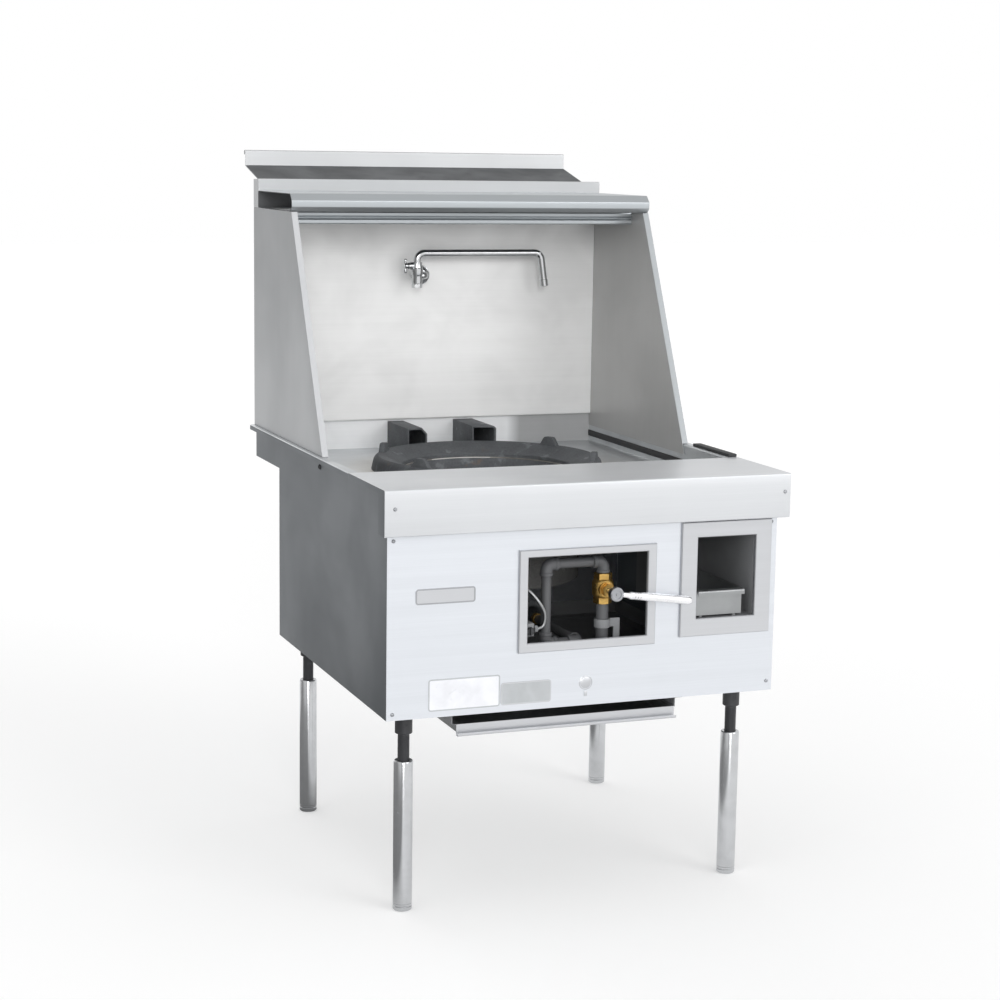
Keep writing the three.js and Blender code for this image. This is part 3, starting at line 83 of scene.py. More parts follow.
class Span:
    """Where a node lies, in millimetres across, back from the apron and up."""

    def __init__(self, node):
        low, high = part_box(node)
        self.x0, self.x1 = low.x / MM, high.x / MM
        self.y0, self.y1 = (low.y - APRON_Y) / MM, (high.y - APRON_Y) / MM
        self.z0, self.z1 = low.z / MM, high.z / MM
        self.x, self.y = (self.x0 + self.x1) / 2, (self.y0 + self.y1) / 2
        self.z = (self.z0 + self.z1) / 2
        self.radius = (self.x1 - self.x0) / 2


# ---- Settings ----------------------------------------------------------------------------------


def colour(name, description, default):
    return bpy.props.FloatVectorProperty(
        name=name, description=description, default=default, subtype="COLOR", min=0, max=1
    )


def length(name, description, default):
    return bpy.props.FloatProperty(
        name=name, description=description, default=default, subtype="DISTANCE", unit="LENGTH",
        min=0,
    )


class WokRangeColours(bpy.types.PropertyGroup):
    """Colours of the range's finishes"""

    satin: colour("Satin steel", "Front panel and drain", (0.735, 0.76, 0.80))
    ledge: colour("Ledge steel", "Landing ledge and apron", (0.68, 0.695, 0.715))
    backsplash: colour("Backsplash steel", "Wall behind the wok", (0.965, 0.965, 0.96))
    flue: colour("Flue steel", "Flue collar and the deflector's lip", (0.56, 0.57, 0.58))
    shelf: colour("Shelf steel", "Top shelf and its rail", (0.47, 0.50, 0.52))
    deck: colour("Deck steel", "Floor and side walls of the deck", (0.62, 0.64, 0.655))
    # The deck wall steel is a brighter, more matt copy of the deck steel: painted light on the wall
    # that faces the front.
    deck_wall: colour("Deck wall steel", "Rear wall of the deck", (0.92, 0.93, 0.94))
    splash: colour("Splash steel", "Outer skins of the side splashes", (0.42, 0.43, 0.44))
    # The hem steel is a lighter copy of the splash steel for the front-facing hem: painted light.
    hem: colour("Hem steel", "Front hem of the left splash", (0.54, 0.55, 0.565))
    lining: colour("Splash lining", "Inner skins of the side splashes", (0.45, 0.45, 0.445))
    trim: colour("Trim steel", "Frames round the openings and the tray's front", (0.59, 0.60, 0.62))
    bin: colour("Bin steel", "Catch bin and crumb tray", (0.36, 0.37, 0.375))
    side: colour("Side steel", "Side panels and flue riser", (0.138, 0.151, 0.164))
    # The brow steel is a darker copy of the steel: painted shade and reflection on the shelf nose's
    # slanted faces and the right splash's hem.
    brow: colour("Brow steel", "Slanted faces of the shelf's nose", (0.37, 0.39, 0.405))
    # A dark steel that paints the shade on the flue's slope and inside the shelf.
    shade: colour("Stained steel", "Flue slope and the shelf's inside", (0.12, 0.125, 0.13))
    dark_paint: colour("Frame paint", "Base frame, rails and bin housing", (0.22, 0.225, 0.233))
    iron: colour("Cast iron", "Wok ring, ports and burner", (0.125, 0.132, 0.14))
    chamber: colour("Chamber wall", "Outside of the chamber casting", (0.33, 0.328, 0.322))
    pipe: colour("Pipe paint", "Knob and leg sockets", (0.03, 0.031, 0.034))
    duct: colour("Gas pipe paint", "Gas pipes behind the window", (0.09, 0.092, 0.097))
    # Dark strips on the deck's side walls, the side screws' heads, and painted shade on the right
    # rim.
    seal: colour("Seal rubber", "Dark strips and rim shade of the deck, and the side screws", (0.035, 0.036, 0.038))
    chrome: colour("Chrome", "Faucet", (0.66, 0.67, 0.68))
    leg: colour("Leg chrome", "Leg tubes and feet", (0.61, 0.62, 0.635))
    tube: colour("Tube steel", "Pilot tube", (0.30, 0.305, 0.31))
    lever: colour("Lever chrome", "Lever of the gas valve", (0.97, 0.97, 0.98))
    brass: colour("Brass", "Gas valve, nozzle and water inlet", (0.66, 0.42, 0.13))
    screw: colour("Screw zinc", "Screws and rivets", (0.42, 0.43, 0.45))
    plate: colour("Light plate", "Blank light plate on the front", (0.86, 0.87, 0.91))
    grey_plate: colour("Grey plate", "Blank grey plate on the front", (0.50, 0.52, 0.535))


class WokRangeSizes(bpy.types.PropertyGroup):
    """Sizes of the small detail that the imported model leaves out"""

    turned_steps: bpy.props.IntProperty(
        name="Turned steps", description="Faces round a turned piece", default=48, min=12, max=96
    )
    cast_round: length("Cast rounding", "Rounding of cast edges", 0.0012)
    edge_round: length("Edge rounding", "Rounding of machined edges", 0.0006)
    thread_pitch: length("Thread pitch", "Pitch of the leg threads", 0.0025)
    screw_radius: length("Screw radius", "Radius of the panel screws' heads", 0.0042)
    plate_thickness: length("Plate thickness", "Thickness of the blank plates", 0.0009)


def colours():
    return bpy.context.scene.wok_range_colours


def sizes():
    return bpy.context.scene.wok_range_sizes


# ---- Shader groups -----------------------------------------------------------------------------

NODE_GAP, NODE_DROP = 220, 60  # between nodes in the editor


class Graph:
    """Adds nodes to a shader tree and wires them."""

    def __init__(self, tree):
        self.tree = tree
        self.column = 0

    def add(self, kind, inputs=None, **settings):
        node = self.tree.nodes.new(kind)
        node.location = (NODE_GAP * self.column, -NODE_DROP * (self.column % 3))
        self.column += 1
        for name, value in settings.items():
            setattr(node, name, value)
        for name, value in (inputs or {}).items():
            if isinstance(value, bpy.types.NodeSocket):
                self.tree.links.new(value, node.inputs[name])
            else:
                node.inputs[name].default_value = value
        return node

    def math(self, operation, a, b):
        return self.add("ShaderNodeMath", {0: a, 1: b}, operation=operation).outputs[0]

    def plus(self, a, b):
        return self.math("ADD", a, b)

    def minus(self, a, b):
        return self.math("SUBTRACT", a, b)

    def times(self, a, b):
        return self.math("MULTIPLY", a, b)

    def vector_math(self, operation, a, b):
        return self.add("ShaderNodeVectorMath", {0: a, 1: b}, operation=operation).outputs

    def spread(self, value, low, high, to_low, to_high, **settings):
        return self.add(
            "ShaderNodeMapRange", {0: value, 1: low, 2: high, 3: to_low, 4: to_high}, **settings
        ).outputs[0]

    def noise(self, vector, scale, detail=2.0, roughness=0.5, distortion=0.0):
        return self.add("ShaderNodeTexNoise", {
            "Vector": vector, "Scale": scale, "Detail": detail, "Roughness": roughness,
            "Distortion": distortion,
        }).outputs[0]

    def blend(self, factor, first, second, **settings):
        values = {0: factor, 6: first, 7: second}
        return self.add("ShaderNodeMix", values, data_type="RGBA", **settings).outputs[2]

    def tint(self, base, tone):
        return self.blend(1.0, base, tone, blend_type="MULTIPLY")


def emptied(owner):
    """The shader tree of a material or a world, without its nodes."""
    owner.use_nodes = True
    owner.node_tree.nodes.clear()
    return owner.node_tree


def shader_group(name, **amounts):
    """Makes a wiring function a node group with a vector and those amounts, built once."""

    def wrap(wire):
        def group():
            if name in bpy.data.node_groups:
                return bpy.data.node_groups[name]
            tree = bpy.data.node_groups.new(name, "ShaderNodeTree")

            def socket(label, way, kind="NodeSocketFloat"):
                return tree.interface.new_socket(name=label, in_out=way, socket_type=kind)

            socket("Vector", "INPUT", "NodeSocketVector")
            for label, amount in amounts.items():
                socket(label, "INPUT").default_value = amount
            graph = Graph(tree)
            results = wire(graph, graph.add("NodeGroupInput").outputs)
            for label in results:
                socket(label, "OUTPUT")
            graph.add("NodeGroupOutput", results)
            return tree

        return group

    return wrap


@shader_group("Brushed grain", Contrast=0.2)
def brushed_grain(graph, given):
    """Long fine lines of a belt-ground sheet, with broader faint bands among them."""
    fine = graph.noise(given["Vector"], 1.0, 3.0, 0.65)
    bands = graph.noise(given["Vector"], 0.11, 2.0, 0.5)
    both = graph.plus(graph.times(fine, 0.55), graph.times(bands, 0.45))
    swing = graph.times(graph.minus(both, 0.5), given["Contrast"])
    return {"Tone": graph.plus(swing, 1.0), "Height": fine, "Line": swing}


@shader_group("Handling smudges", Scale=3.0, Darkening=0.06)
def handling_smudges(graph, given):
    """Soft cloudy patches where a sheet was wiped and handled."""
    cloud = graph.noise(given["Vector"], given["Scale"], 3.0, 0.55, 0.35)
    mask = graph.spread(cloud, 0.38, 0.66, 0.0, 1.0)
    return {"Mask": mask, "Tone": graph.minus(1.0, graph.times(mask, given["Darkening"]))}


@shader_group("Casting skin", Scale=220.0)
def casting_skin(graph, given):
    """Sand-cast grain: fine pits over a low unevenness."""
    grain = graph.noise(given["Vector"], given["Scale"], 5.0, 0.62)
    swell = graph.noise(given["Vector"], graph.times(given["Scale"], 0.12), 2.0)
    height = graph.plus(graph.times(grain, 0.6), graph.times(swell, 0.4))
    return {"Height": height, "Tone": graph.spread(height, 0.3, 0.7, 0.78, 1.25)}


@shader_group("Worn patches", Scale=30.0, Cover=0.2)
def worn_patches(graph, given):
    """Scattered worn or stained spots; Cover says how much of the surface they take."""
    spots = graph.noise(given["Vector"], given["Scale"], 4.0, 0.6, 0.2)
    edge = graph.minus(0.78, graph.times(given["Cover"], 0.4))
    return {"Mask": graph.spread(spots, edge, graph.plus(edge, 0.07), 0.0, 1.0)}


@shader_group("Heat reach", Inner=0.2, Outer=0.4)
def heat_reach(graph, given):
    """How near a point is to the fire: 1 at Inner metres from the chamber's axis, 0 at Outer."""
    flat = graph.vector_math("MULTIPLY", given["Vector"], (1.0, 1.0, 0.0))[0]
    axis = tuple(at(0, Span("wok_ring").y, 0))
    far = graph.vector_math("DISTANCE", flat, axis)["Value"]
    reach = graph.plus(far, graph.times(graph.noise(given["Vector"], 16.0, 2.0), 0.05))
    return {"Mask": graph.spread(
        reach, given["Inner"], given["Outer"], 1.0, 0.0, interpolation_type="SMOOTHSTEP")}


# ---- Finishes ----------------------------------------------------------------------------------

GRAIN = {"X": (5.0, 560.0, 560.0), "Y": (560.0, 5.0, 560.0), "Z": (560.0, 560.0, 5.0)}
HEAT_INNER, HEAT_OUTER = 0.25, 0.42
STRAW = (0.80, 0.66, 0.50)  # how heat tints steel
RUST = (1.7, 1.15, 0.8)  # how heat tints castings
TARNISH = (0.16, 0.085, 0.03, 1.0)
PAINTED_REFLECTION_FROM, PAINTED_REFLECTION_TO = 0.205, 0.24  # where the deck's rear wall turns darker: a painted reflection of the right splash


class Coat(Graph):
    """A material with a Principled shader, whose sockets the maker of each finish fills."""

    def __init__(self, name, metallic, roughness):
        self.material = bpy.data.materials.new(name)
        super().__init__(emptied(self.material))
        self.place = self.add("ShaderNodeTexCoord").outputs["Object"]
        values = {"Metallic": metallic, "Roughness": roughness}
        self.shader = self.add("ShaderNodeBsdfPrincipled", values)
        self.add("ShaderNodeOutputMaterial", {0: self.shader.outputs[0]})

    def use(self, group, **inputs):
        values = {"Vector": self.place, **inputs}
        return self.add("ShaderNodeGroup", values, node_tree=group()).outputs

    def lines(self, grain, contrast):
        values = {"Vector": self.place, "Scale": GRAIN[grain]}
        along = self.add("ShaderNodeMapping", values).outputs[0]
        return self.use(brushed_grain, Vector=along, Contrast=contrast)

    def set(self, socket, value):
        self.tree.links.new(value, self.shader.inputs[socket])

    def bump(self, height, strength, distance):
        values = {"Height": height, "Strength": strength, "Distance": distance}
        self.set("Normal", self.add("ShaderNodeBump", values).outputs[0])


def rgba(value):
    return (*value, 1.0)


def scaled(base, *shares):
    """A colour whose parts are multiplied, up to white."""
    return rgba(min(1.0, c * k) for c, k in zip(base, shares))


def steel_sheet(name, base, grain, roughness=0.34, metallic=0.92, smudge=0.05, scale=2.6,
                heat=0.0, painted_reflection=0.0):
    """Brushed sheet with wiping marks; where asked, a straw tint near the fire and a darker end that
    is a painted reflection.
    """
    coat = Coat(name, metallic, roughness)
    lines = coat.lines(grain, 0.16)
    marks = coat.use(handling_smudges, Scale=scale, Darkening=smudge)
    shade = coat.tint(coat.tint(rgba(base), lines["Tone"]), marks["Tone"])
    if heat:
        near = coat.use(heat_reach, Inner=HEAT_INNER, Outer=HEAT_OUTER)["Mask"]
        shade = coat.blend(coat.times(near, heat), shade, scaled(base, *STRAW))
    # Painted reflection: the sheet darkens to the right of about 0.2 m across, standing for the right
    # splash mirrored in it.
    if painted_reflection:
        across = coat.add("ShaderNodeSeparateXYZ", {0: coat.place}).outputs["X"]
        shade = coat.tint(shade, coat.spread(across, PAINTED_REFLECTION_FROM, PAINTED_REFLECTION_TO, 1.0, painted_reflection))
    coat.set("Base Color", shade)
    uneven = coat.plus(coat.times(marks["Mask"], 0.09), coat.times(lines["Line"], 0.5))
    coat.set("Roughness", coat.plus(uneven, roughness))
    coat.bump(lines["Height"], 0.12, 0.0002)
    return coat.material


def cast_metal(name, base, roughness=0.62, metallic=0.55, rust=0.35):
    """Sand-cast iron, rubbed a little brighter in spots and brown with heat in others."""
    coat = Coat(name, metallic, roughness)
    skin = coat.use(casting_skin, Scale=210.0)
    rubbed = coat.use(worn_patches, Scale=26.0, Cover=0.42)["Mask"]
    brown = coat.use(worn_patches, Scale=11.0, Cover=0.35)["Mask"]
    shade = coat.tint(rgba(base), skin["Tone"])
    shade = coat.blend(coat.times(rubbed, 0.45), shade, scaled(base, 1.9, 1.9, 1.9))
    shade = coat.blend(coat.times(brown, rust), shade, scaled(base, *RUST))
    coat.set("Base Color", shade)
    coat.set("Roughness", coat.minus(roughness + 0.06, coat.times(rubbed, 0.18)))
    coat.bump(skin["Height"], 0.45, 0.0012)
    return coat.material


def painted_metal(name, base, roughness=0.42, chip=0.14):
    """Semi-matt paint with orange peel, and small chips that show the metal."""
    coat = Coat(name, 0.0, roughness)
    chips = coat.use(worn_patches, Scale=48.0, Cover=chip)["Mask"]
    dust = coat.use(handling_smudges, Scale=9.0, Darkening=-0.22)
    bare = rgba(min(1.0, c * 3.2 + 0.05) for c in base)
    coat.set("Base Color", coat.blend(chips, coat.tint(rgba(base), dust["Tone"]), bare))
    coat.set("Metallic", coat.times(chips, 0.8))
    coat.set("Roughness", coat.plus(coat.times(dust["Mask"], 0.14), roughness))
    coat.bump(coat.noise(coat.place, 420.0, 2.0), 0.16, 0.0004)
    return coat.material


def plated_metal(name, base, roughness=0.12, mist=0.10, turned="Z"):
    """Chrome or bare metal with faint polishing lines, water spots and a little dulling."""
    coat = Coat(name, 1.0, roughness)
    lines = coat.lines(turned, 0.10)
    spots = coat.use(worn_patches, Scale=75.0, Cover=0.26)["Mask"]
    haze = coat.use(handling_smudges, Scale=22.0, Darkening=0.10)
    coat.set("Base Color", coat.tint(coat.tint(rgba(base), lines["Tone"]), haze["Tone"]))
    dull = coat.plus(coat.times(haze["Mask"], mist), roughness)
    coat.set("Roughness", coat.plus(dull, coat.times(spots, 0.16)))
    coat.bump(lines["Height"], 0.05, 0.0002)
    return coat.material


def brass_metal(name, base):
    """Machined brass, tarnished brown in patches."""
    coat = Coat(name, 0.95, 0.3)
    tarnish = coat.use(handling_smudges, Scale=60.0, Darkening=0.35)
    brown = coat.use(worn_patches, Scale=95.0, Cover=0.36)["Mask"]
    shade = coat.tint(rgba(base), tarnish["Tone"])
    coat.set("Base Color", coat.blend(coat.times(brown, 0.55), shade, TARNISH))
    coat.set("Roughness", coat.plus(coat.times(tarnish["Mask"], 0.18), 0.26))
    coat.bump(coat.noise(coat.place, 900.0, 2.0), 0.12, 0.0003)
    return coat.material


def film_plate(name, base, roughness=0.35):
    """A blank stuck-on film plate, slightly wrinkled, with faint smudges."""
    coat = Coat(name, 0.0, roughness)
    wrinkle = coat.noise(coat.place, 34.0, 3.0, 0.5, 1.4)
    marks = coat.use(handling_smudges, Scale=24.0, Darkening=0.10)
    coat.set("Base Color", coat.tint(rgba(base), marks["Tone"]))
    coat.set("Roughness", coat.spread(wrinkle, 0.3, 0.7, roughness - 0.1, roughness + 0.15))
    coat.bump(wrinkle, 0.5, 0.0012)
    return coat.material


FINISHES = {  # name: its maker, its colour setting and the maker's further values
    "satin_steel": (steel_sheet, "satin", "X"),
    "ledge_steel": (steel_sheet, "ledge", "X", 0.3, 0.4),
    "backsplash_steel": (steel_sheet, "backsplash", "X", 0.38, 0.25, 0.11, 5.0),
    "flue_steel": (steel_sheet, "flue", "X", 0.36, 0.5),
    "shelf_steel": (steel_sheet, "shelf", "X", 0.3),
    # painted shade and reflection on the shelf's nose and the right hem
    "brow_steel": (steel_sheet, "brow", "X", 0.34, 0.6),
    "deck_steel": (steel_sheet, "deck", "X", 0.3, 0.7, 0.12, 7.0, 0.5),
    # its last value darkens the wall's right end as a painted reflection
    "deck_wall_steel": (steel_sheet, "deck_wall", "X", 0.36, 0.12, 0.08, 7.0, 0.25, 0.48),
    "splash_steel": (steel_sheet, "splash", "Z", 0.38),
    "hem_steel": (steel_sheet, "hem", "Z", 0.4, 0.3),
    "splash_lining": (steel_sheet, "lining", "Z", 0.36, 0.3, 0.09),
    "trim_steel": (steel_sheet, "trim", "X", 0.36),
    "bin_steel": (steel_sheet, "bin", "X", 0.32, 0.92, 0.12, 12.0),
    "side_steel": (steel_sheet, "side", "Y", 0.42, 0.8, 0.1),
    # painted shade on the flue slope and the shelf's inside
    "stained_steel": (steel_sheet, "shade", "X", 0.75, 0.0, 0.3, 9.0),
    "frame_paint": (painted_metal, "dark_paint", 0.5),
    "pipe_paint": (painted_metal, "pipe", 0.38),
    "gas_pipe_paint": (painted_metal, "duct", 0.4),
    # also paints the shade on the right rim
    "seal_rubber": (painted_metal, "seal", 0.62, 0.02),
    "cast_iron": (cast_metal, "iron"),
    "burner_iron": (cast_metal, "iron", 0.7, 0.35, 0.7),
    "chamber_wall": (cast_metal, "chamber", 0.85, 0.1, 0.15),
    "chrome": (plated_metal, "chrome"),
    "leg_chrome": (plated_metal, "leg", 0.14, 0.06),
    "tube_steel": (plated_metal, "tube", 0.3),
    "lever_chrome": (plated_metal, "lever", 0.2, 0.10, "X"),
    "screw_zinc": (plated_metal, "screw", 0.3, 0.10, "X"),
    "brass": (brass_metal, "brass"),
    "light_plate": (film_plate, "plate"),
    "grey_plate": (film_plate, "grey_plate", 0.5),
}
made_finishes = {}


def finish(name):
    """The material of that finish, made on its first use."""
    if name not in made_finishes:
        maker, shade, *values = FINISHES[name]
        label = name.replace("_", " ").capitalize()
        made_finishes[name] = maker(label, getattr(colours(), shade), *values)
    return made_finishes[name]


# ---- Mesh tools --------------------------------------------------------------------------------

MERGE, NODE_MERGE = 2e-5, 2e-6  # metres between corners that become one
SMOOTH, SHEET_SMOOTH = 34, 20  # degrees; sheets keep their faces flat up to the rounded edges
SHEET_SHARP = 40  # degrees of the sheet edges that are rounded


def tidied(bm):
    """Merges doubles and turns every face outwards."""
    bmesh.ops.remove_doubles(bm, verts=bm.verts[:], dist=MERGE)
    bmesh.ops.dissolve_degenerate(bm, dist=1e-6, edges=bm.edges[:])
    bmesh.ops.recalc_face_normals(bm, faces=bm.faces[:])
    return bm


def spun(profile, centre, axis=UP, steps=None):
    """Turns (radius, distance along the axis) pairs in millimetres into a closed shell."""
    bm = bmesh.new()
    axis = Vector(axis).normalized()
    out = axis.orthogonal().normalized()
    verts = [bm.verts.new(centre + out * (r * MM) + axis * (h * MM)) for r, h in profile]
    edges = [bm.edges.new(pair) for pair in zip(verts, verts[1:])]
    bmesh.ops.spin(
        bm, geom=verts + edges, cent=centre, axis=axis, dvec=(0, 0, 0), angle=math.tau,
        steps=steps or sizes().turned_steps, use_merge=True,
    )
    return tidied(bm)


def rounded(bm, width, angle=28, segments=2):
    """Rounds the edges of a shell that are sharper than an angle in degrees."""
    sharp = [
        e for e in bm.edges if len(e.link_faces) == 2 and e.calc_face_angle(0) > math.radians(angle)
    ]
    bmesh.ops.bevel(
        bm, geom=sharp, offset=width, offset_type="OFFSET", segments=segments, profile=0.5,
        affect="EDGES", clamp_overlap=True, material=-1,
    )
    return bm


def nut(centre, axis, corner, height, bore=0.0, chamfer=1.2):
    """A hexagon nut or bar end: a turned shell whose flats are pressed in, with turned corners."""
    profile = [
        (bore, 0), (corner - chamfer, 0), (corner, chamfer * 0.6),
        (corner, height - chamfer * 0.6), (corner - chamfer, height), (bore, height),
    ]
    if bore:
        profile.append((bore, 0))
    bm = spun(profile, centre, axis, 24)
    axis = Vector(axis).normalized()
    out = axis.orthogonal().normalized()
    side = axis.cross(out)
    for vert in bm.verts:
        arm = vert.co - centre
        along = axis * arm.dot(axis)
        arm -= along
        reach = arm.length
        if reach < (bore + 0.5) * MM:
            continue
        turn = math.atan2(arm.dot(side), arm.dot(out)) % (math.pi / 3) - math.pi / 6
        flat = corner * MM * math.cos(math.pi / 6) / math.cos(turn)
        vert.co = centre + along + arm * (min(reach, flat) / reach)
    return bm


def block(x0, x1, y0, y1, z0, z1, width=None, segments=2):
    """A solid block between two corners in millimetres, with rounded edges."""
    bm = bmesh.new()
    bmesh.ops.create_cube(bm, size=1.0)
    low, high = at(x0, y0, z0), at(x1, y1, z1)
    size = Matrix.Diagonal((*(high - low), 1.0))
    bmesh.ops.transform(bm, matrix=Matrix.Translation((low + high) / 2) @ size, verts=bm.verts[:])
    return rounded(bm, sizes().edge_round if width is None else width, 60, segments)


def pulled(bm, faces, way):
    """Extrudes faces along a way and returns what that made."""
    made = bmesh.ops.extrude_face_region(bm, geom=faces)["geom"]
    fresh = [item for item in made if isinstance(item, bmesh.types.BMVert)]
    bmesh.ops.translate(bm, verts=fresh, vec=way)
    return made


def route_through(corners, bend, steps=8):
    """Places and directions along a route whose corners are rounded, in metres."""
    points = [Vector(c) for c in corners]
    route = [(points[0], (points[1] - points[0]).normalized())]
    for before, corner, after in zip(points, points[1:], points[2:]):
        back = (before - corner).normalized()
        ahead = (after - corner).normalized()
        half = back.angle(ahead) / 2
        start = corner + back * (bend / math.tan(half))
        pivot = corner + (back + ahead).normalized() * (bend / math.sin(half))
        sweep = math.pi - 2 * half
        axis = back.cross(ahead).normalized() * -1
        for k in range(steps + 1):
            turn = Quaternion(axis, sweep * k / steps)
            route.append((pivot + turn @ (start - pivot), turn @ -back))
    route.append((points[-1], (points[-1] - points[-2]).normalized()))
    return route


def lofted(stations, sides=24):
    """A tube through (place, direction, radius in millimetres); a radius of 0 closes it."""
    frames = []
    place, heading, _ = stations[0]
    across = heading.orthogonal().normalized()
    for place, direction, radius in stations:
        across = heading.rotation_difference(direction) @ across
        heading = direction
        side = heading.cross(across)
        wide = max(radius, 0.004) * MM
        matrix = Matrix((across * wide, side * wide, heading * wide)).transposed().to_4x4()
        matrix.translation = place
        frames.append(matrix)
    bm = bmesh.new()
    ring = bmesh.ops.create_circle(bm, cap_ends=False, radius=1.0, segments=sides)["verts"]
    bmesh.ops.transform(bm, matrix=frames[0], verts=ring)
    edges = bm.edges[:]
    for before, after in zip(frames, frames[1:]):
        made = bmesh.ops.extrude_edge_only(bm, edges=edges)["geom"]
        fresh = {item for item in made if isinstance(item, bmesh.types.BMVert)}
        edges = [
            item for item in made
            if isinstance(item, bmesh.types.BMEdge) and all(v in fresh for v in item.verts)
        ]
        bmesh.ops.transform(bm, matrix=after @ before.inverted(), verts=list(fresh))
    return tidied(bm)


def capped(route, radius, lip=0.8):
    """Stations of a plain round bar along a route, with softly rounded ends."""
    (first, start), (last, end) = route[0], route[-1]
    return [
        (first, start, 0.0), (first, start, radius - lip),
        (first + start * (lip * MM), start, radius),
        *((place, heading, radius) for place, heading in route[1:-1]),
        (last - end * (lip * MM), end, radius),
        (last, end, radius - lip), (last, end, 0.0),
    ]


def thread(start, axis, radius, reach, pitch, depth=0.9):
    """A screw thread: a ridge that winds along a rod."""
    axis = Vector(axis).normalized()
    out = axis.orthogonal().normalized()
    steps = 18
    turns = max(1, int(reach / pitch) - 1)
    bm = bmesh.new()
    section = [(radius - 0.3, 0.0), (radius + depth, pitch * 0.42), (radius - 0.3, pitch * 0.84)]
    verts = [bm.verts.new(start + out * (r * MM) + axis * (h * MM)) for r, h in section]
    face = bm.faces.new(verts)
    bmesh.ops.spin(
        bm, geom=[face], cent=start, axis=axis, dvec=axis * (pitch * MM / steps),
        angle=math.tau * turns, steps=steps * turns, use_merge=False,
    )
    bmesh.ops.recalc_face_normals(bm, faces=bm.faces[:])
    return bm


def copy_of(node):
    """A merged copy of a node's mesh, with its flat faces whole again."""
    bm = bmesh.new()
    bm.from_mesh(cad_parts[node].data)
    bmesh.ops.remove_doubles(bm, verts=bm.verts[:], dist=NODE_MERGE)
    bmesh.ops.dissolve_limit(
        bm, angle_limit=math.radians(0.5), verts=bm.verts[:], edges=bm.edges[:]
    )
    return bm


def placed(name, bm):
    """An object of that mesh, in the scene."""
    mesh = bpy.data.meshes.new(name)
    bm.to_mesh(mesh)
    bm.free()
    item = bpy.data.objects.new(name, mesh)
    bpy.context.scene.collection.objects.link(item)
    return item


def solid_result(base, tool, operation):
    """Joins or cuts two closed shells."""
    objects = [placed("base", base), placed("tool", tool)]
    change = objects[0].modifiers.new("Result", "BOOLEAN")
    change.object, change.operation, change.solver = objects[1], operation, "EXACT"
    shape = objects[0].evaluated_get(bpy.context.evaluated_depsgraph_get())
    result = bmesh.new()
    result.from_mesh(shape.to_mesh())
    shape.to_mesh_clear()
    for item in objects:
        bpy.data.meshes.remove(item.data)
    return result


def joined(shells):
    """Several shells in one mesh."""
    whole = bmesh.new()
    for bm in shells:
        mesh = bpy.data.meshes.new("shell")
        bm.to_mesh(mesh)
        bm.free()
        whole.from_mesh(mesh)
        bpy.data.meshes.remove(mesh)
    return whole


def piece(name, shells, slot, materials, *replaces, body="range", smooth=SMOOTH):
    """Makes one shell or a list of them a piece that rides on a body and replaces nodes."""
    item = placed(name, joined(shells) if isinstance(shells, list) else shells)
    item.data.shade_smooth()
    item.data.set_sharp_from_angle(angle=math.radians(smooth))
    for material in materials.split():
        item.data.materials.append(finish(material))
    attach(item, body)
    if replaces:
        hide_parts(*replaces)


def sheet(name, node, materials, width, choose):
    """A piece from a node's sheet; choose says which material a face takes, by normal and place."""
    bm = copy_of(node)
    for face in bm.faces:
        face.material_index = choose(face.normal, face.calc_center_median())
    if width:
        rounded(bm, width, SHEET_SHARP)
    piece(name, bm, "satin_steel", materials, node, smooth=SHEET_SMOOTH)


def refinish(slot, material, nodes):
    """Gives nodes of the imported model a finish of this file."""
    for node in nodes.split():
        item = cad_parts[node]
        for holder in item.material_slots:
            holder.link = "OBJECT"
            holder.material = finish(material)


class Step:
    """What the operators share: each builds its pieces when it runs."""

    def execute(self, context):
        self.build()
        return {"FINISHED"}


# ---- Stage -------------------------------------------------------------------------------------

LENS, SENSOR = 77.486, 36.0
CAMERA_PLACE = (-1.7601, -4.66135, 1.5909)
CAMERA_YAW, CAMERA_PITCH, CAMERA_ROLL = 20.970, 9.372, 0.872
CAMERA_SHIFT = (0.0005, 0.0042)
LAMPS = (  # name, where it shines from, strength, apparent size in degrees
    ("Key light", (2.6, -3.8, 2.1), 0.62, 34),
    ("Front light", (-1.5, -5.5, 1.4), 0.85, 24),
    ("Fill light", (-4.2, -2.2, 1.6), 0.25, 50),
    ("Rear light", (-0.9, 4.4, 2.2), 0.36, 50),
)
SKY_LIGHT = 0.72  # what lights the range; the camera and reflections see white
DARK_SIDE = (-0.93, 0.36, 0.0)  # a reflection of this side of the studio is darker
DARK_SIDE_REACH, DARK_SIDE_LEVEL = (-0.3, 0.6), 0.42
FLOOR_SIZE, FLOOR_TONE, FLOOR_LIFT = 30.0, 0.8, 0.27
CARD_TONE = 0.34  # a dark card on the floor, seen in reflections only
CARD_EDGES = (  # a way over the floor, and where along it the card begins
    ((-0.934, 0.358, 0.0), (0.12, 0.42)),
    ((-0.358, -0.934, 0.0), (-1.1, -0.7)),
)


def light_path_share(graph):
    """1 for what the camera, a reflection or a clear surface sees, otherwise 0."""
    seen = graph.add("ShaderNodeLightPath").outputs
    share = graph.math("MAXIMUM", seen["Is Camera Ray"], seen["Is Glossy Ray"])
    return graph.math("MAXIMUM", share, seen["Is Transmission Ray"])


def glossy_ray(graph):
    return graph.add("ShaderNodeLightPath").outputs["Is Glossy Ray"]


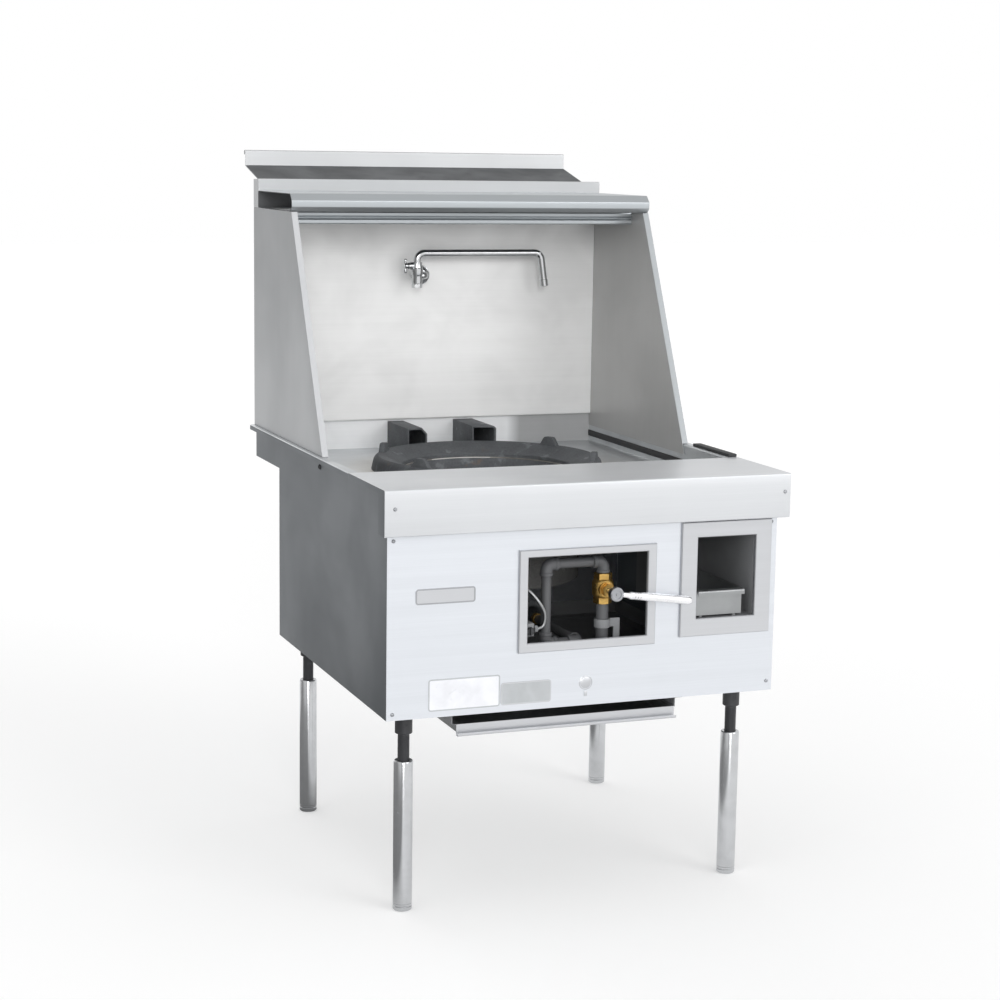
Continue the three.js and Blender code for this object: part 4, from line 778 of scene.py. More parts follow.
class WOKRANGE_OT_stage(Step, bpy.types.Operator):
    """Sets the floor, the studio light and the camera"""

    bl_idname = "wokrange.stage"
    bl_label = "Stage"

    def build(self):
        scene = bpy.context.scene
        scene.view_settings.view_transform = "Standard"
        self.floor()
        self.world(scene)
        for values in LAMPS:
            self.lamp(scene, *values)
        self.camera(scene)

    def floor(self):
        bm = bmesh.new()
        bmesh.ops.create_grid(bm, x_segments=8, y_segments=8, size=FLOOR_SIZE)
        floor = placed("Floor", bm)
        material = bpy.data.materials.new("Pale floor")
        graph = Graph(emptied(material))
        place = graph.add("ShaderNodeTexCoord").outputs["Object"]
        card = glossy_ray(graph)
        for way, reach in CARD_EDGES:
            along = graph.vector_math("DOT_PRODUCT", place, way)["Value"]
            card = graph.times(card, graph.spread(along, *reach, 0.0, 1.0))
        tone = graph.spread(card, 0.0, 1.0, FLOOR_TONE, CARD_TONE)
        matt = graph.add("ShaderNodeBsdfDiffuse", {"Color": tone})
        lift = graph.times(graph.times(light_path_share(graph), FLOOR_LIFT), graph.minus(1.0, card))
        glow = graph.add("ShaderNodeEmission", {"Strength": lift})
        both = graph.add("ShaderNodeAddShader", {0: matt.outputs[0], 1: glow.outputs[0]})
        graph.add("ShaderNodeOutputMaterial", {0: both.outputs[0]})
        floor.data.materials.append(material)
        floor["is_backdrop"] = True

    def world(self, scene):
        scene.world = bpy.data.worlds.new("Studio")
        graph = Graph(emptied(scene.world))
        strength = graph.spread(light_path_share(graph), 0.0, 1.0, SKY_LIGHT, 1.0)
        way = graph.add("ShaderNodeTexCoord").outputs["Generated"]
        toward = graph.vector_math("DOT_PRODUCT", way, DARK_SIDE)["Value"]
        dimmed = graph.spread(toward, *DARK_SIDE_REACH, 0.0, 1.0 - DARK_SIDE_LEVEL)
        strength = graph.minus(strength, graph.times(dimmed, glossy_ray(graph)))
        values = {"Color": (1, 1, 1, 1), "Strength": strength}
        plain = graph.add("ShaderNodeBackground", values)
        graph.add("ShaderNodeOutputWorld", {0: plain.outputs[0]})

    def lamp(self, scene, name, source, strength, size):
        light = bpy.data.lights.new(name, "SUN")
        light.energy, light.angle = strength, math.radians(size)
        lamp = bpy.data.objects.new(name, light)
        lamp.rotation_mode = "QUATERNION"
        lamp.rotation_quaternion = Vector(source).to_track_quat("Z", "Y")
        scene.collection.objects.link(lamp)

    def camera(self, scene):
        lens = bpy.data.cameras.new("Camera")
        lens.lens, lens.sensor_width = LENS, SENSOR
        lens.shift_x, lens.shift_y = CAMERA_SHIFT
        camera = bpy.data.objects.new("Camera", lens)
        matrix = Matrix.Translation(CAMERA_PLACE)
        for degrees, axis in ((-CAMERA_YAW, "Z"), (90 - CAMERA_PITCH, "X"), (CAMERA_ROLL, "Z")):
            matrix = matrix @ Matrix.Rotation(math.radians(degrees), 4, axis)
        camera.matrix_world = matrix
        scene.collection.objects.link(camera)
        scene.camera = camera


# ---- Sheet metal -------------------------------------------------------------------------------

SHEET_ROUND, THIN_ROUND = 0.0007, 0.0006
# Dark strips low on the deck's side walls; and a dark block on the right rim, painted shade where the
# rim's inner face is in shade.
STRIP_FOOT, STRIP_HEIGHT, STRIP_THICK = 863.0, 15.0, 3.0
STRIP_FRONT, RIM_SHADE_END, RIM_SHADE_HEIGHT = 300.0, 440.0, 7.0
PLAIN_SHEETS = (  # slot, finish and the nodes that take them
    ("satin_steel", "satin_steel", "front_panel back_panel rear_enclosure drain_spout"),
    ("satin_steel", "flue_steel", "flue_collar"),
    ("satin_steel", "backsplash_steel", "backsplash"),
    ("satin_steel", "shelf_steel", "shelf_rail"),
    ("satin_steel", "trim_steel", "window_frame bin_frame tray_front"),
    ("satin_steel", "bin_steel", "catch_bin crumb_tray"),
    ("side_steel", "side_steel", "side_panel_left side_panel_right flue_riser"),
    ("frame_steel", "frame_paint", "base_frame bin_housing tray_rail_left tray_rail_right"),
    ("frame_steel", "frame_paint", "burner_bracket pipe_clamp"),
)


class WOKRANGE_OT_panels(Step, bpy.types.Operator):
    """Finishes the body, deck, flue, frames, bin and tray sheets"""

    bl_idname = "wokrange.panels"
    bl_label = "Panels"

    def build(self):
        for values in PLAIN_SHEETS:
            refinish(*values)
        self.topped("landing_ledge", "ledge_sheet", "ledge_steel side_steel", SHEET_ROUND)
        self.topped("deck_pan", "deck_sheet", "deck_steel side_steel deck_wall_steel", 0)
        self.seals()

    def topped(self, node, name, materials, width):
        """A sheet of the top: its ends towards the sides take the side panels' dark finish as painted
        shade, and on the deck the rear wall takes a brighter copy of the deck steel as painted light.
        """
        end = (Span(node).x1 - 1) * MM

        def choose(normal, place):
            # Painted shade: the sideways ends are made as dark as the side panels.
            if abs(normal.x) > 0.9 and abs(place.x) > end:
                return 1
            # Painted light: the deck's rear wall, facing the front, takes the brighter and more matt
            # deck wall finish.
            return 2 if node == "deck_pan" and normal.y < -0.9 and place.y > 0 else 0

        sheet(name, node, materials, width, choose)

    def seals(self):
        """Dark strips along the deck's side walls, and a dark block on the right rim before the
        splash that is painted shade.
        """
        wall, rear = Span("splash_right").x0 + 2, Span("backsplash").y1
        low, high = STRIP_FOOT, STRIP_FOOT + STRIP_HEIGHT
        shells = [
            block(x, x + STRIP_THICK, STRIP_FRONT, rear, low, high, 0.0008, 3)
            for x in (-wall, wall - STRIP_THICK)
        ]
        # Painted shade: a dark block on the right rim only, where the rim's inner face lies in shade.
        ledge = Span("landing_ledge")
        shells.append(block(wall + 3, wall + 23, ledge.y1 + 4, RIM_SHADE_END,
                            ledge.z1, ledge.z1 + RIM_SHADE_HEIGHT, 0.0016, 3))
        piece("deck_seals", shells, None, "seal_rubber")


class WOKRANGE_OT_splashes(Step, bpy.types.Operator):
    """Builds the side splashes, with their outer skins, linings and front hems; the left hem takes a
    lighter finish as painted light, the right hem the darker brow finish as painted shade.
    """

    bl_idname = "wokrange.splashes"
    bl_label = "Splashes"

    def build(self):
        # The last value picks the hem's finish: the lighter hem steel on the left is painted light,
        # the darker brow steel on the right is painted shade.
        for hand, outward, hem in (("left", -1, 2), ("right", 1, 3)):

            def choose(normal, place):
                if abs(normal.x) < 0.5:
                    return hem if normal.y < -0.2 else 0
                return 0 if normal.x * outward > 0 else 1

            sheet("splash_sheet_" + hand, "splash_" + hand,
                  "splash_steel splash_lining hem_steel brow_steel", SHEET_ROUND, choose)


class WOKRANGE_OT_flue_and_shelf(Step, bpy.types.Operator):
    """Builds the top shelf with its faceted nose, and the flue deflector with its slope; the slope,
    the shelf's inside and the nose's slanted faces are darkened as painted shade.
    """

    bl_idname = "wokrange.flue_and_shelf"
    bl_label = "Flue and shelf"

    def build(self):
        # The deflector's faces lying near flat, the slope among them, take the dark finish as painted
        # shade.
        sheet("deflector_sheet", "flue_deflector", "flue_steel stained_steel", THIN_ROUND,
              lambda normal, place: 1 if abs(normal.z) > 0.8 else 0)
        span = Span("top_shelf")
        axis = at(0, span.y, span.z)
        nose = at(0, span.y0 + 25, 0).y

        def choose(normal, place):
            # The shelf's inside takes the dark finish as painted shade.
            inside = (place.y - axis.y) * normal.y + (place.z - axis.z) * normal.z < 0
            # The nose's slanted faces take the darker brow finish as a painted reflection.
            slanted = abs(normal.z) > 0.3 and normal.y < -0.3 and place.y < nose
            return 1 if inside else 2 if slanted else 0

        materials = "shelf_steel stained_steel brow_steel"
        sheet("shelf_sheet", "top_shelf", materials, THIN_ROUND, choose)


# ---- Castings ----------------------------------------------------------------------------------

RING_SEAT, RING_SINK, RING_HEIGHT, EAR_THICK = 200.0, 0.3, 32, 13
EAR_TURNS = (33, 147, 213, 327)
PORTS = ("flue_port_left", "flue_port_right")
PORT_WALL = 7


def quadratic(start, control, end, steps=5):
    """Points along a curve from just after its start to its end."""
    for k in range(1, steps + 1):
        t = k / steps
        yield tuple(
            a * (1 - t) ** 2 + 2 * b * t * (1 - t) + c * t * t
            for a, b, c in zip(start, control, end)
        )


def ring_ear(centre, inner, thickness, foot, height, turn):
    """A lug that holds the wok: a humped plate bent to the ring."""
    shoulder = (16, height - 7)
    half = [(30, 0), *quadratic((30, 0), (22, 4), shoulder),
            *quadratic(shoulder, (12, height), (7, height))]
    outline = half + [(-x, z) for x, z in reversed(half)]
    bm = bmesh.new()
    verts = [bm.verts.new((x * MM, inner * MM, (foot + z) * MM)) for x, z in outline]
    pulled(bm, [bm.faces.new(verts)], (0, thickness * MM, 0))
    bmesh.ops.recalc_face_normals(bm, faces=bm.faces[:])
    rounded(bm, 0.003, 50, 3)
    for vert in bm.verts:
        sweep, reach = vert.co.x / (inner * MM), vert.co.y
        vert.co.x, vert.co.y = math.sin(sweep) * reach, math.cos(sweep) * reach
    turned = Matrix.Rotation(turn - math.pi / 2, 4, "Z")
    matrix = Matrix.Translation((centre.x, centre.y, 0)) @ turned
    bmesh.ops.transform(bm, matrix=matrix, verts=bm.verts[:])
    return bm


class WOKRANGE_OT_wok_ring(Step, bpy.types.Operator):
    """Builds the cast wok ring with its ears, and the two flue ports"""

    bl_idname = "wokrange.wok_ring"
    bl_label = "Wok ring"

    def build(self):
        ring = Span("wok_ring")
        outer, foot, seat = ring.radius, ring.z0, RING_SEAT
        top = foot - RING_SINK + RING_HEIGHT
        profile = [
            (outer, foot), (outer - 2.5, top - 20), (outer - 5, top - 10), (outer - 7.5, top - 5.5),
            (outer - 11, top - 2.2), (outer - 16, top), (outer - 24, top - 1),
            (outer - 30, top - 3.6), (seat + 6, foot + 10.6), (seat + 1.4, foot + 9),
            (seat, foot + 7), (seat, foot), (seat + 8, foot), (seat + 8, foot + 5),
            (outer - 20, top - 9), (outer - 13, top - 12), (outer - 8, foot), (outer, foot),
        ]
        axis = at(0, ring.y, 0)
        shell = spun(profile, axis, UP, 96)
        for degrees in EAR_TURNS:
            tall = ring.z1 - top + 5
            lug = ring_ear(axis, outer - 26, EAR_THICK, top - 5, tall, math.radians(degrees))
            shell = solid_result(shell, lug, "UNION")
        rear = ring.y + outer
        for port in PORTS:
            span = Span(port)
            hole = block(span.x0 + PORT_WALL, span.x1 - PORT_WALL, rear - 60, rear + 20,
                         foot - 1, foot + 15, 0.002)
            shell = solid_result(shell, hole, "DIFFERENCE")
        piece("wok_ring_casting", shell, "cast_iron", "cast_iron", "wok_ring", smooth=30)
        for port in PORTS:
            bm = rounded(copy_of(port), 0.0014, 30)
            piece(port + "_casting", bm, "cast_iron", "cast_iron", port)


class WOKRANGE_OT_chamber(Step, bpy.types.Operator):
    """Builds the chamber casting"""

    bl_idname = "wokrange.chamber"
    bl_label = "Chamber"

    THROAT, RIBS, RIB_GAP = 112, 4, 46
    COURSES = ((22, 90), (14, 125), (6, 160), (3, 195))  # in from the mouth, up from the foot

    def build(self):
        shell = Span("chamber_shell")
        wall, top, foot = shell.radius - 4, shell.z1, shell.z0
        mouth, throat = wall - 22, self.THROAT
        ribs = []
        for k in range(1, self.RIBS + 1):
            z = top - 3 - k * self.RIB_GAP
            ribs += [(wall, z + 5), (wall - 2.5, z + 3), (wall - 2.5, z - 3), (wall, z - 5)]
        courses = []
        for inset, rise in self.COURSES:
            r, z = mouth - inset, foot + rise
            courses += [(r, z - 1.6), (r + 2.2, z), (r, z + 1.6)]
        profile = [
            (mouth, top), (wall + 4, top), (wall + 4, top - 3), (wall, top - 3), *ribs,
            (wall, foot), (throat, foot), (throat, foot + 20), (throat + 38, foot + 38), *courses,
            (mouth, top),
        ]
        axis = at(0, shell.y, 0)
        bm = rounded(spun(profile, axis, UP, 72), sizes().cast_round, 40)
        for face in bm.faces:
            arm = face.calc_center_median() - axis
            outside = arm.x * face.normal.x + arm.y * face.normal.y > 0.05
            face.material_index = 0 if outside else 1
        piece("chamber_casting", bm, "chamber", "chamber_wall burner_iron", "chamber_shell")


class WOKRANGE_OT_burner(Step, bpy.types.Operator):
    """Builds the burner head with its jets, and the mixing tube that feeds it"""

    bl_idname = "wokrange.burner"
    bl_label = "Burner"

    JET_ROWS = ((1, 0), (7, 34), (13, 64))
    JET = [(0, 26), (7, 26), (7, 43.5), (6.2, 46), (4.2, 51.4), (3.6, 52), (2.2, 52), (2.2, 43),
           (0, 43)]
    BELL = [(90, 0), (90, 20), (8, 20), (1, 24), (0, 26), (0, 34.5), (1.2, 36), (4, 36), (6, 34),
            (12, 29.5), (20, 26), (40, 24)]
    TUBE_RADIUS, BELL_RADIUS, TUBE_BEND = 24, 36, 34

    def build(self):
        head, middle = Span("burner_head"), Span("chamber_shell").y
        radius = head.radius
        plenum = spun([
            (0, 0), (30, 0), (36, 6), (radius - 8, 10), (radius - 2, 13), (radius, 16),
            (radius, 25), (radius - 1.5, 28), (radius - 6, 30), (0, 34),
        ], at(0, middle, head.z0), UP, 64)
        shells = [rounded(plenum, sizes().cast_round, 24)]
        for count, reach in self.JET_ROWS:
            for k in range(count):
                turn = math.tau * k / count
                x, y = reach * math.cos(turn), middle + reach * math.sin(turn)
                shells.append(spun(self.JET, at(x, y, head.z0), UP, 14))
        piece("burner_head_casting", shells, "cast_iron", "burner_iron", "burner_head")
        self.mixer(middle, head.z0)

    def mixer(self, middle, head_foot):
        tube, radius = Span("burner_mixer"), self.TUBE_RADIUS
        level = tube.z0 + self.BELL_RADIUS
        mouth = at(tube.x, tube.y0, level)

        def inward(step):
            return mouth + BACK * (step * MM)

        bend = route_through([
            inward(60), at(tube.x, middle, level), at(tube.x, middle, head_foot - 0.3),
        ], self.TUBE_BEND * MM, 10)
        stations = [(inward(step), BACK, wide) for step, wide in self.BELL]
        stations += [(place, heading, radius) for place, heading in bend]
        stations.append((*bend[-1], 0))
        band = spun([(radius, 0), (radius + 2.2, 1), (radius + 2.2, 9), (radius, 10),
                     (radius - 1, 5), (radius, 0)], inward(78), BACK, 36)
        piece("burner_mixer_casting", [lofted(stations, 36), band], "cast_iron", "burner_iron",
              "burner_mixer")


# ---- Gas train ---------------------------------------------------------------------------------

PIPE_PLANE = 75.0  # the pipes behind the window, back from the apron
SUPPLY_RADIUS, SUPPLY_BEND, SUPPLY_LEVEL = 13.3, 24, 490.0
FEED_RADIUS, FEED_BEND, FEED_TOP, FEED_LEFT, FEED_LEVEL = 10.7, 14, 731.0, -75.0, 560.0
CAD_ELBOW, ELBOW_BODY, ELBOW_BAND = 1.28, 1.24, 1.36  # of the pipe's radius
PIPE_THREAD = (8, 1.6, 0.35)  # reach, pitch and depth
LEVER_DROP = 8.0  # degrees


def elbow(before, corner, after, bend, radius):
    """A malleable elbow: a stout bend with a band at each mouth."""
    reach = bend + radius * MM
    back, ahead = (before - corner).normalized(), (after - corner).normalized()
    start, end = corner + back * reach, corner + ahead * reach
    route = route_through([start, corner, end], bend, 10)
    body, band = radius * ELBOW_BODY, radius * ELBOW_BAND
    mouth = ((0, 0), (0, band - 0.8), (0.8, band), (6.2, band), (7.4, body))
    stations = [(start - back * (step * MM), -back, wide) for step, wide in mouth]
    stations += [(place, heading, body) for place, heading in route[1:-1]]
    stations += [(end - ahead * (step * MM), ahead, wide) for step, wide in reversed(mouth)]
    return lofted(stations, 28)


def pipe_run(corners, radius, bend):
    """A run of gas pipe with an elbow at each corner and thread ends beside the elbows."""
    bend *= MM
    shells = [lofted(capped(route_through(corners, bend, 8), radius), 28)]
    for before, corner, after in zip(corners, corners[1:], corners[2:]):
        shells.append(elbow(before, corner, after, bend, radius))
        for far in (before, after):
            way = (far - corner).normalized()
            mouth = corner + way * (bend + radius * MM)
            if (far - mouth).length > 20 * MM:
                shells.append(thread(mouth, way, radius, *PIPE_THREAD))
    return shells


def smooth_route(points, steps):
    """Places and directions on a centripetal curve through points."""
    points = [points[0] * 2 - points[1], *points, points[-1] * 2 - points[-2]]
    places = []
    for four in zip(points, points[1:], points[2:], points[3:]):
        knots = [0.0]
        for p, q in zip(four, four[1:]):
            knots.append(knots[-1] + math.sqrt((q - p).length))

        def between(p, q, i, j, t):
            return p.lerp(q, (t - knots[i]) / (knots[j] - knots[i]))

        for k in range(steps):
            t = knots[1] + (knots[2] - knots[1]) * k / steps
            ab, bc, cd = (between(four[i], four[i + 1], i, i + 1, t) for i in range(3))
            places.append(between(between(ab, bc, 0, 2, t), between(bc, cd, 1, 3, t), 1, 2, t))
    places.append(points[-2])
    neighbours = zip(places, places[:1] + places, places[1:] + places[-1:])
    return [(place, (after - before).normalized()) for place, before, after in neighbours]


class WOKRANGE_OT_gas_pipes(Step, bpy.types.Operator):
    """Builds the gas pipes with their elbows, and the nozzle"""

    bl_idname = "wokrange.gas_pipes"
    bl_label = "Gas pipes"

    def build(self):
        bore, y, inlet = Span("gas_valve_body").x, PIPE_PLANE, Span("gas_inlet_pipe")
        tail = inlet.x0 + SUPPLY_RADIUS * CAD_ELBOW
        supply = [
            at(tail, inlet.y1, SUPPLY_LEVEL), at(tail, y, SUPPLY_LEVEL),
            at(bore, y, SUPPLY_LEVEL), at(bore, y, inlet.z1),
        ]
        piece("gas_inlet_run", pipe_run(supply, SUPPLY_RADIUS, SUPPLY_BEND), "black_pipe",
              "gas_pipe_paint", "gas_inlet_pipe")
        outlet = Span("gas_outlet_pipe")
        feed = [
            at(bore, y, outlet.z0), at(bore, y, FEED_TOP), at(FEED_LEFT, y, FEED_TOP),
            at(FEED_LEFT, y, FEED_LEVEL), at(0, y, FEED_LEVEL), at(0, outlet.y1, FEED_LEVEL),
        ]
        piece("gas_outlet_run", pipe_run(feed, FEED_RADIUS, FEED_BEND), "black_pipe",
              "gas_pipe_paint", "gas_outlet_pipe")
        spud = Span("orifice_spud")
        place = at(spud.x, spud.y0, spud.z)
        nozzle = spun([(0, 11), (9, 11), (9, 21), (8, 22.4), (4.6, 29.4), (4, 30), (1.4, 30),
                       (1.4, 25), (0, 25)], place, BACK, 32)
        piece("gas_nozzle", [nut(place, BACK, 14, 12), nozzle], "brass", "brass", "orifice_spud")


class WOKRANGE_OT_gas_valve(Step, bpy.types.Operator):
    """Builds the brass gas valve and its lever"""

    bl_idname = "wokrange.gas_valve"
    bl_label = "Gas valve"

    def build(self):
        valve = Span("gas_valve_body")
        tall, foot = valve.z1 - valve.z0, at(valve.x, PIPE_PLANE, valve.z0)
        bonnet = at(valve.x, valve.y0, valve.z - 0.15)
        barrel = spun([(0, 10), (17, 12), (20.5, 15), (23, 20), (23, tall - 20), (20.5, tall - 15),
                       (17, tall - 12), (0, tall - 10)], foot)
        boss = [(6.5, 12), (17, 12), (17, 24), (19, 30), (19, 35), (6.5, 35), (6.5, 12)]
        washer = [(6.5, 8.5), (12.2, 8.5), (12.2, 12.5), (6.5, 12.5), (6.5, 8.5)]
        piece("gas_valve_casting", [
            rounded(barrel, 0.0008, 24), spun(boss, bonnet, BACK, 40),
            nut(foot, UP, 20, 14, chamfer=1.6),
            nut(foot + UP * ((tall - 14) * MM), UP, 20, 14, chamfer=1.6),
            nut(bonnet, BACK, 14.5, 9, 6.5), spun(washer, bonnet, BACK, 36),
        ], "brass", "brass", "gas_valve_body")
        self.lever(valve)

    def lever(self, valve):
        y = Span("gas_valve_lever").y0 + 9
        reach = valve.y0 + 17 - y
        drop = math.radians(LEVER_DROP)
        way = Vector((math.cos(drop), 0, -math.sin(drop)))
        centre = at(valve.x, y, valve.z - 0.15)
        stem = spun([(0, 0), (6, 0), (6, reach - 1), (5, reach), (0, reach)], centre, BACK, 32)
        hub = spun([(0, -8.6), (2.6, -8.6), (3.2, -8), (3.2, -6.4), (8.4, -6.4), (9, -8),
                    (12.5, -8), (15, -6), (15, 8), (13.4, 10), (0, 10)], centre, BACK, 40)
        grip = [(0, 8), (6, 8), (6, 26), (7.4, 29.5), (9, 32)]
        for groove in (40, 46, 52):
            grip += [(9, groove), (8.2, groove + 1), (8.2, groove + 2), (9, groove + 3)]
        grip += [(9, 168), (8.6, 172), (7.2, 174.8), (5, 176), (0, 176)]
        pin = spun([(0, 12.4), (2.4, 12.4), (2.4, 15.2), (1.8, 15.6), (0, 15.6)], centre,
                   way.cross(BACK), 16)
        for shell in (stem, hub, pin):
            for face in shell.faces:
                face.material_index = 1
        piece("gas_lever", [stem, hub, spun(grip, centre, way, 40), pin], "chrome",
              "lever_chrome screw_zinc", "gas_valve_lever", body="valve_lever")


class WOKRANGE_OT_pilot(Step, bpy.types.Operator):
    """Builds the pilot valve, its knob, its tube and the pilot burner"""

    bl_idname = "wokrange.pilot"
    bl_label = "Pilot"

    TUBE_FRONT, TUBE_RADIUS = 52, 4  # the tube leaves the valve there, back from the apron

    def build(self):
        knob, valve, burner = Span("pilot_knob"), Span("pilot_valve"), Span("pilot_burner")
        x, z = knob.x, knob.z
        drop = z - 12 - valve.z0
        piece("pilot_cock", [
            block(x - 13, x + 13, valve.y0 + 5, valve.y1, z - 14, z + 14, 0.0015, 3),
            nut(at(x, valve.y0, z), BACK, 10, 6, 3.6),
            spun([(0, 0), (5, 0), (5, drop), (0, drop)], at(x, PIPE_PLANE, valve.z0), UP, 24),
            nut(at(x, PIPE_PLANE, z - 22), UP, 8.5, 8),
            nut(at(x + 13, self.TUBE_FRONT, z + 2), ACROSS, 7.5, 7, 4.1),
        ], "frame_steel", "frame_paint", "pilot_valve")
        self.knob(knob, x, z)
        self.tube(burner, x + 13.3, z)
        place = at(burner.x, burner.y, burner.z0)
        hood = spun([(0, 5), (6.2, 5), (6.2, 12), (4.4, 18.6), (3.4, 20), (1.8, 20), (1.8, 14),
                     (0, 14)], place, UP, 24)
        piece("pilot_jet", [nut(place, UP, 7, 6), hood], "brass", "brass", "pilot_burner")

    def knob(self, span, x, z):
        deep, centre = span.y1 - span.y0, at(x, span.y0, z)
        grip = spun([(0, 5), (7.6, 5), (9, 6.2), (9, 11.6), (8.2, 13), (0, 13)], centre, BACK, 36)
        for vert in grip.verts:
            arm = vert.co - centre
            arm.y = 0
            if arm.length > 8.4 * MM:
                wave = math.cos(12 * math.atan2(arm.z, arm.x))
                vert.co -= arm.normalized() * (0.45 * MM * (1 + wave))
        stem = spun([(0, 10), (3, 10), (3, deep - 0.6), (2.4, deep), (0, deep)], centre, BACK, 24)
        wing = block(x - 2, x + 2, span.y0, span.y0 + 6, z - 8, z + 8, 0.0012, 3)
        piece("pilot_turn_knob", [grip, stem, wing], "black_pipe", "pipe_paint", "pilot_knob",
              body="pilot_knob")

    def tube(self, burner, start, z):
        front, x, y, head = self.TUBE_FRONT, burner.x, burner.y, burner.z0 - 0.3
        hand = [
            (start, front, z + 2), (start + 8, front, z + 2), (start + 20, front, z + 8),
            (start + 23, front, z + 34), (start + 8, 56, z + 62), (start - 14, 70, z + 86),
            (-150, 110, z + 92), (-165, 200, z + 50), (-160, 340, FEED_LEVEL + 12),
            (-130, 500, FEED_LEVEL), (x - 6, y - 40, FEED_LEVEL), (x, y, FEED_LEVEL + 30),
            (x, y, head - 4), (x, y, head),
        ]
        route = smooth_route([at(*p) for p in hand], 6)
        tube = lofted(capped(route, self.TUBE_RADIUS, 0.4), 16)
        piece("pilot_gas_tube", tube, "chrome", "tube_steel", "pilot_tube")


# ---- Faucet ------------------------------------------------------------------------------------

SPOUT_TURN, SPOUT_END = 265, (277, 1253)  # where the spout turns down, and its end across and up
FAUCET_TUBE, ARM_BEND, SPOUT_BEND = 9, 14, 18


class WOKRANGE_OT_faucet(Step, bpy.types.Operator):
    """Builds the faucet: body, swivelling spout, handle and water inlet"""

    bl_idname = "wokrange.faucet"
    bl_label = "Faucet"

    def build(self):
        body, spout, handle = Span("faucet_body"), Span("faucet_spout"), Span("faucet_handle")
        inlet = Span("water_inlet")
        x, y, wall, tall = spout.x0 + 13, handle.y, body.y1, body.z1 - body.z0
        flange = [(0, 0), (22.6, 0), (24, 1.2), (24, 3), (22.8, 4.4), (17, 6), (14, 9), (12, 10),
                  (0, 10)]
        corners = [at(inlet.x, wall - 4, inlet.z), at(inlet.x, y, inlet.z), at(x, y, inlet.z)]
        column = [(0, 0), (7.5, 0), (9, 1.2), (13, 5.5), (13, 22), (13.6, 24.6), (15, 28), (15, 42),
                  (13.4, 43.6), (12, tall - 5), (12, tall), (0, tall)]
        neck = [(4.5, 10), (8.5, 10), (8.5, 22.6), (7.4, 24), (4.5, 24), (4.5, 10)]
        ring = [(8, 13.5), (10, 13.5), (10, 17.5), (8, 17.5), (8, 13.5)]
        hub = at(x, y, handle.z)
        piece("faucet_column", [
            spun(flange, at(inlet.x, wall, inlet.z), -BACK, 48),
            lofted(capped(route_through(corners, ARM_BEND * MM, 10), FAUCET_TUBE), 28),
            spun(column, at(x, y, body.z0)),
            spun(neck, hub, -ACROSS, 36), spun(ring, hub, -ACROSS, 36),
        ], "chrome", "chrome", "faucet_body")
        self.spout(spout, x, y)
        self.handle(hub)
        self.inlet(inlet)

    def spout(self, span, x, y):
        foot, level = at(x, y, span.z0), span.z1 - FAUCET_TUBE
        corners = [at(x, y, span.z0 + 2), at(x, y, level), at(SPOUT_TURN, y, level),
                   at(SPOUT_END[0], y, SPOUT_END[1])]
        route = route_through(corners, SPOUT_BEND * MM, 12)
        last, heading = route[-1]
        stations = capped(route, FAUCET_TUBE)[:-3]
        tip = ((17, FAUCET_TUBE), (16.4, 10.2), (1, 10.2), (0, 9.4), (0, 7), (12, 7), (12, 0))
        stations += [(last - heading * (step * MM), heading, wide) for step, wide in tip]
        cone = spun([(0, 9), (11, 9), (10, 12.6), (9, 13.4), (0, 13.4)], foot, UP, 36)
        piece("faucet_swing_spout", [
            lofted(stations, 32), nut(foot, UP, 13, 9.5, chamfer=1.4), cone,
        ], "chrome", "chrome", "faucet_spout", body="spout")

    def handle(self, base):
        stem = spun([(0, 12.3), (3.4, 12.3), (4, 13), (4, 26), (0, 26)], base, -ACROSS, 28)
        hub = spun([(0, 24.3), (6.6, 24.3), (7.5, 25.2), (7.5, 31), (6, 33), (4, 33.3), (0, 33.3)],
                   base, -ACROSS, 36)
        half = [(3.2, 6), (4, 13), (3.8, 15.4), (2.6, 17.2), (0, 18)]
        wing = spun([*((r, -h) for r, h in reversed(half)), (3, 0), *half],
                    base - ACROSS * (30.3 * MM), UP, 28)
        piece("faucet_turn_handle", [stem, hub, wing], "chrome", "chrome", "faucet_handle",
              body="water_handle")

    def inlet(self, span):
        deep = span.y1 - span.y0
        pipe = spun([(0, 0), (9.8, 0), (10.7, 1), (10.7, deep - 1), (9.8, deep), (6.5, deep),
                     (6.5, deep - 20), (0, deep - 20)], at(span.x, span.y0, span.z), BACK, 36)
        turns = thread(at(span.x, span.y1 - 20, span.z), BACK, 10.2, 18, 1.8, 0.45)
        piece("water_inlet_pipe", [pipe, turns], "brass", "brass", "water_inlet")


# ---- Legs --------------------------------------------------------------------------------------


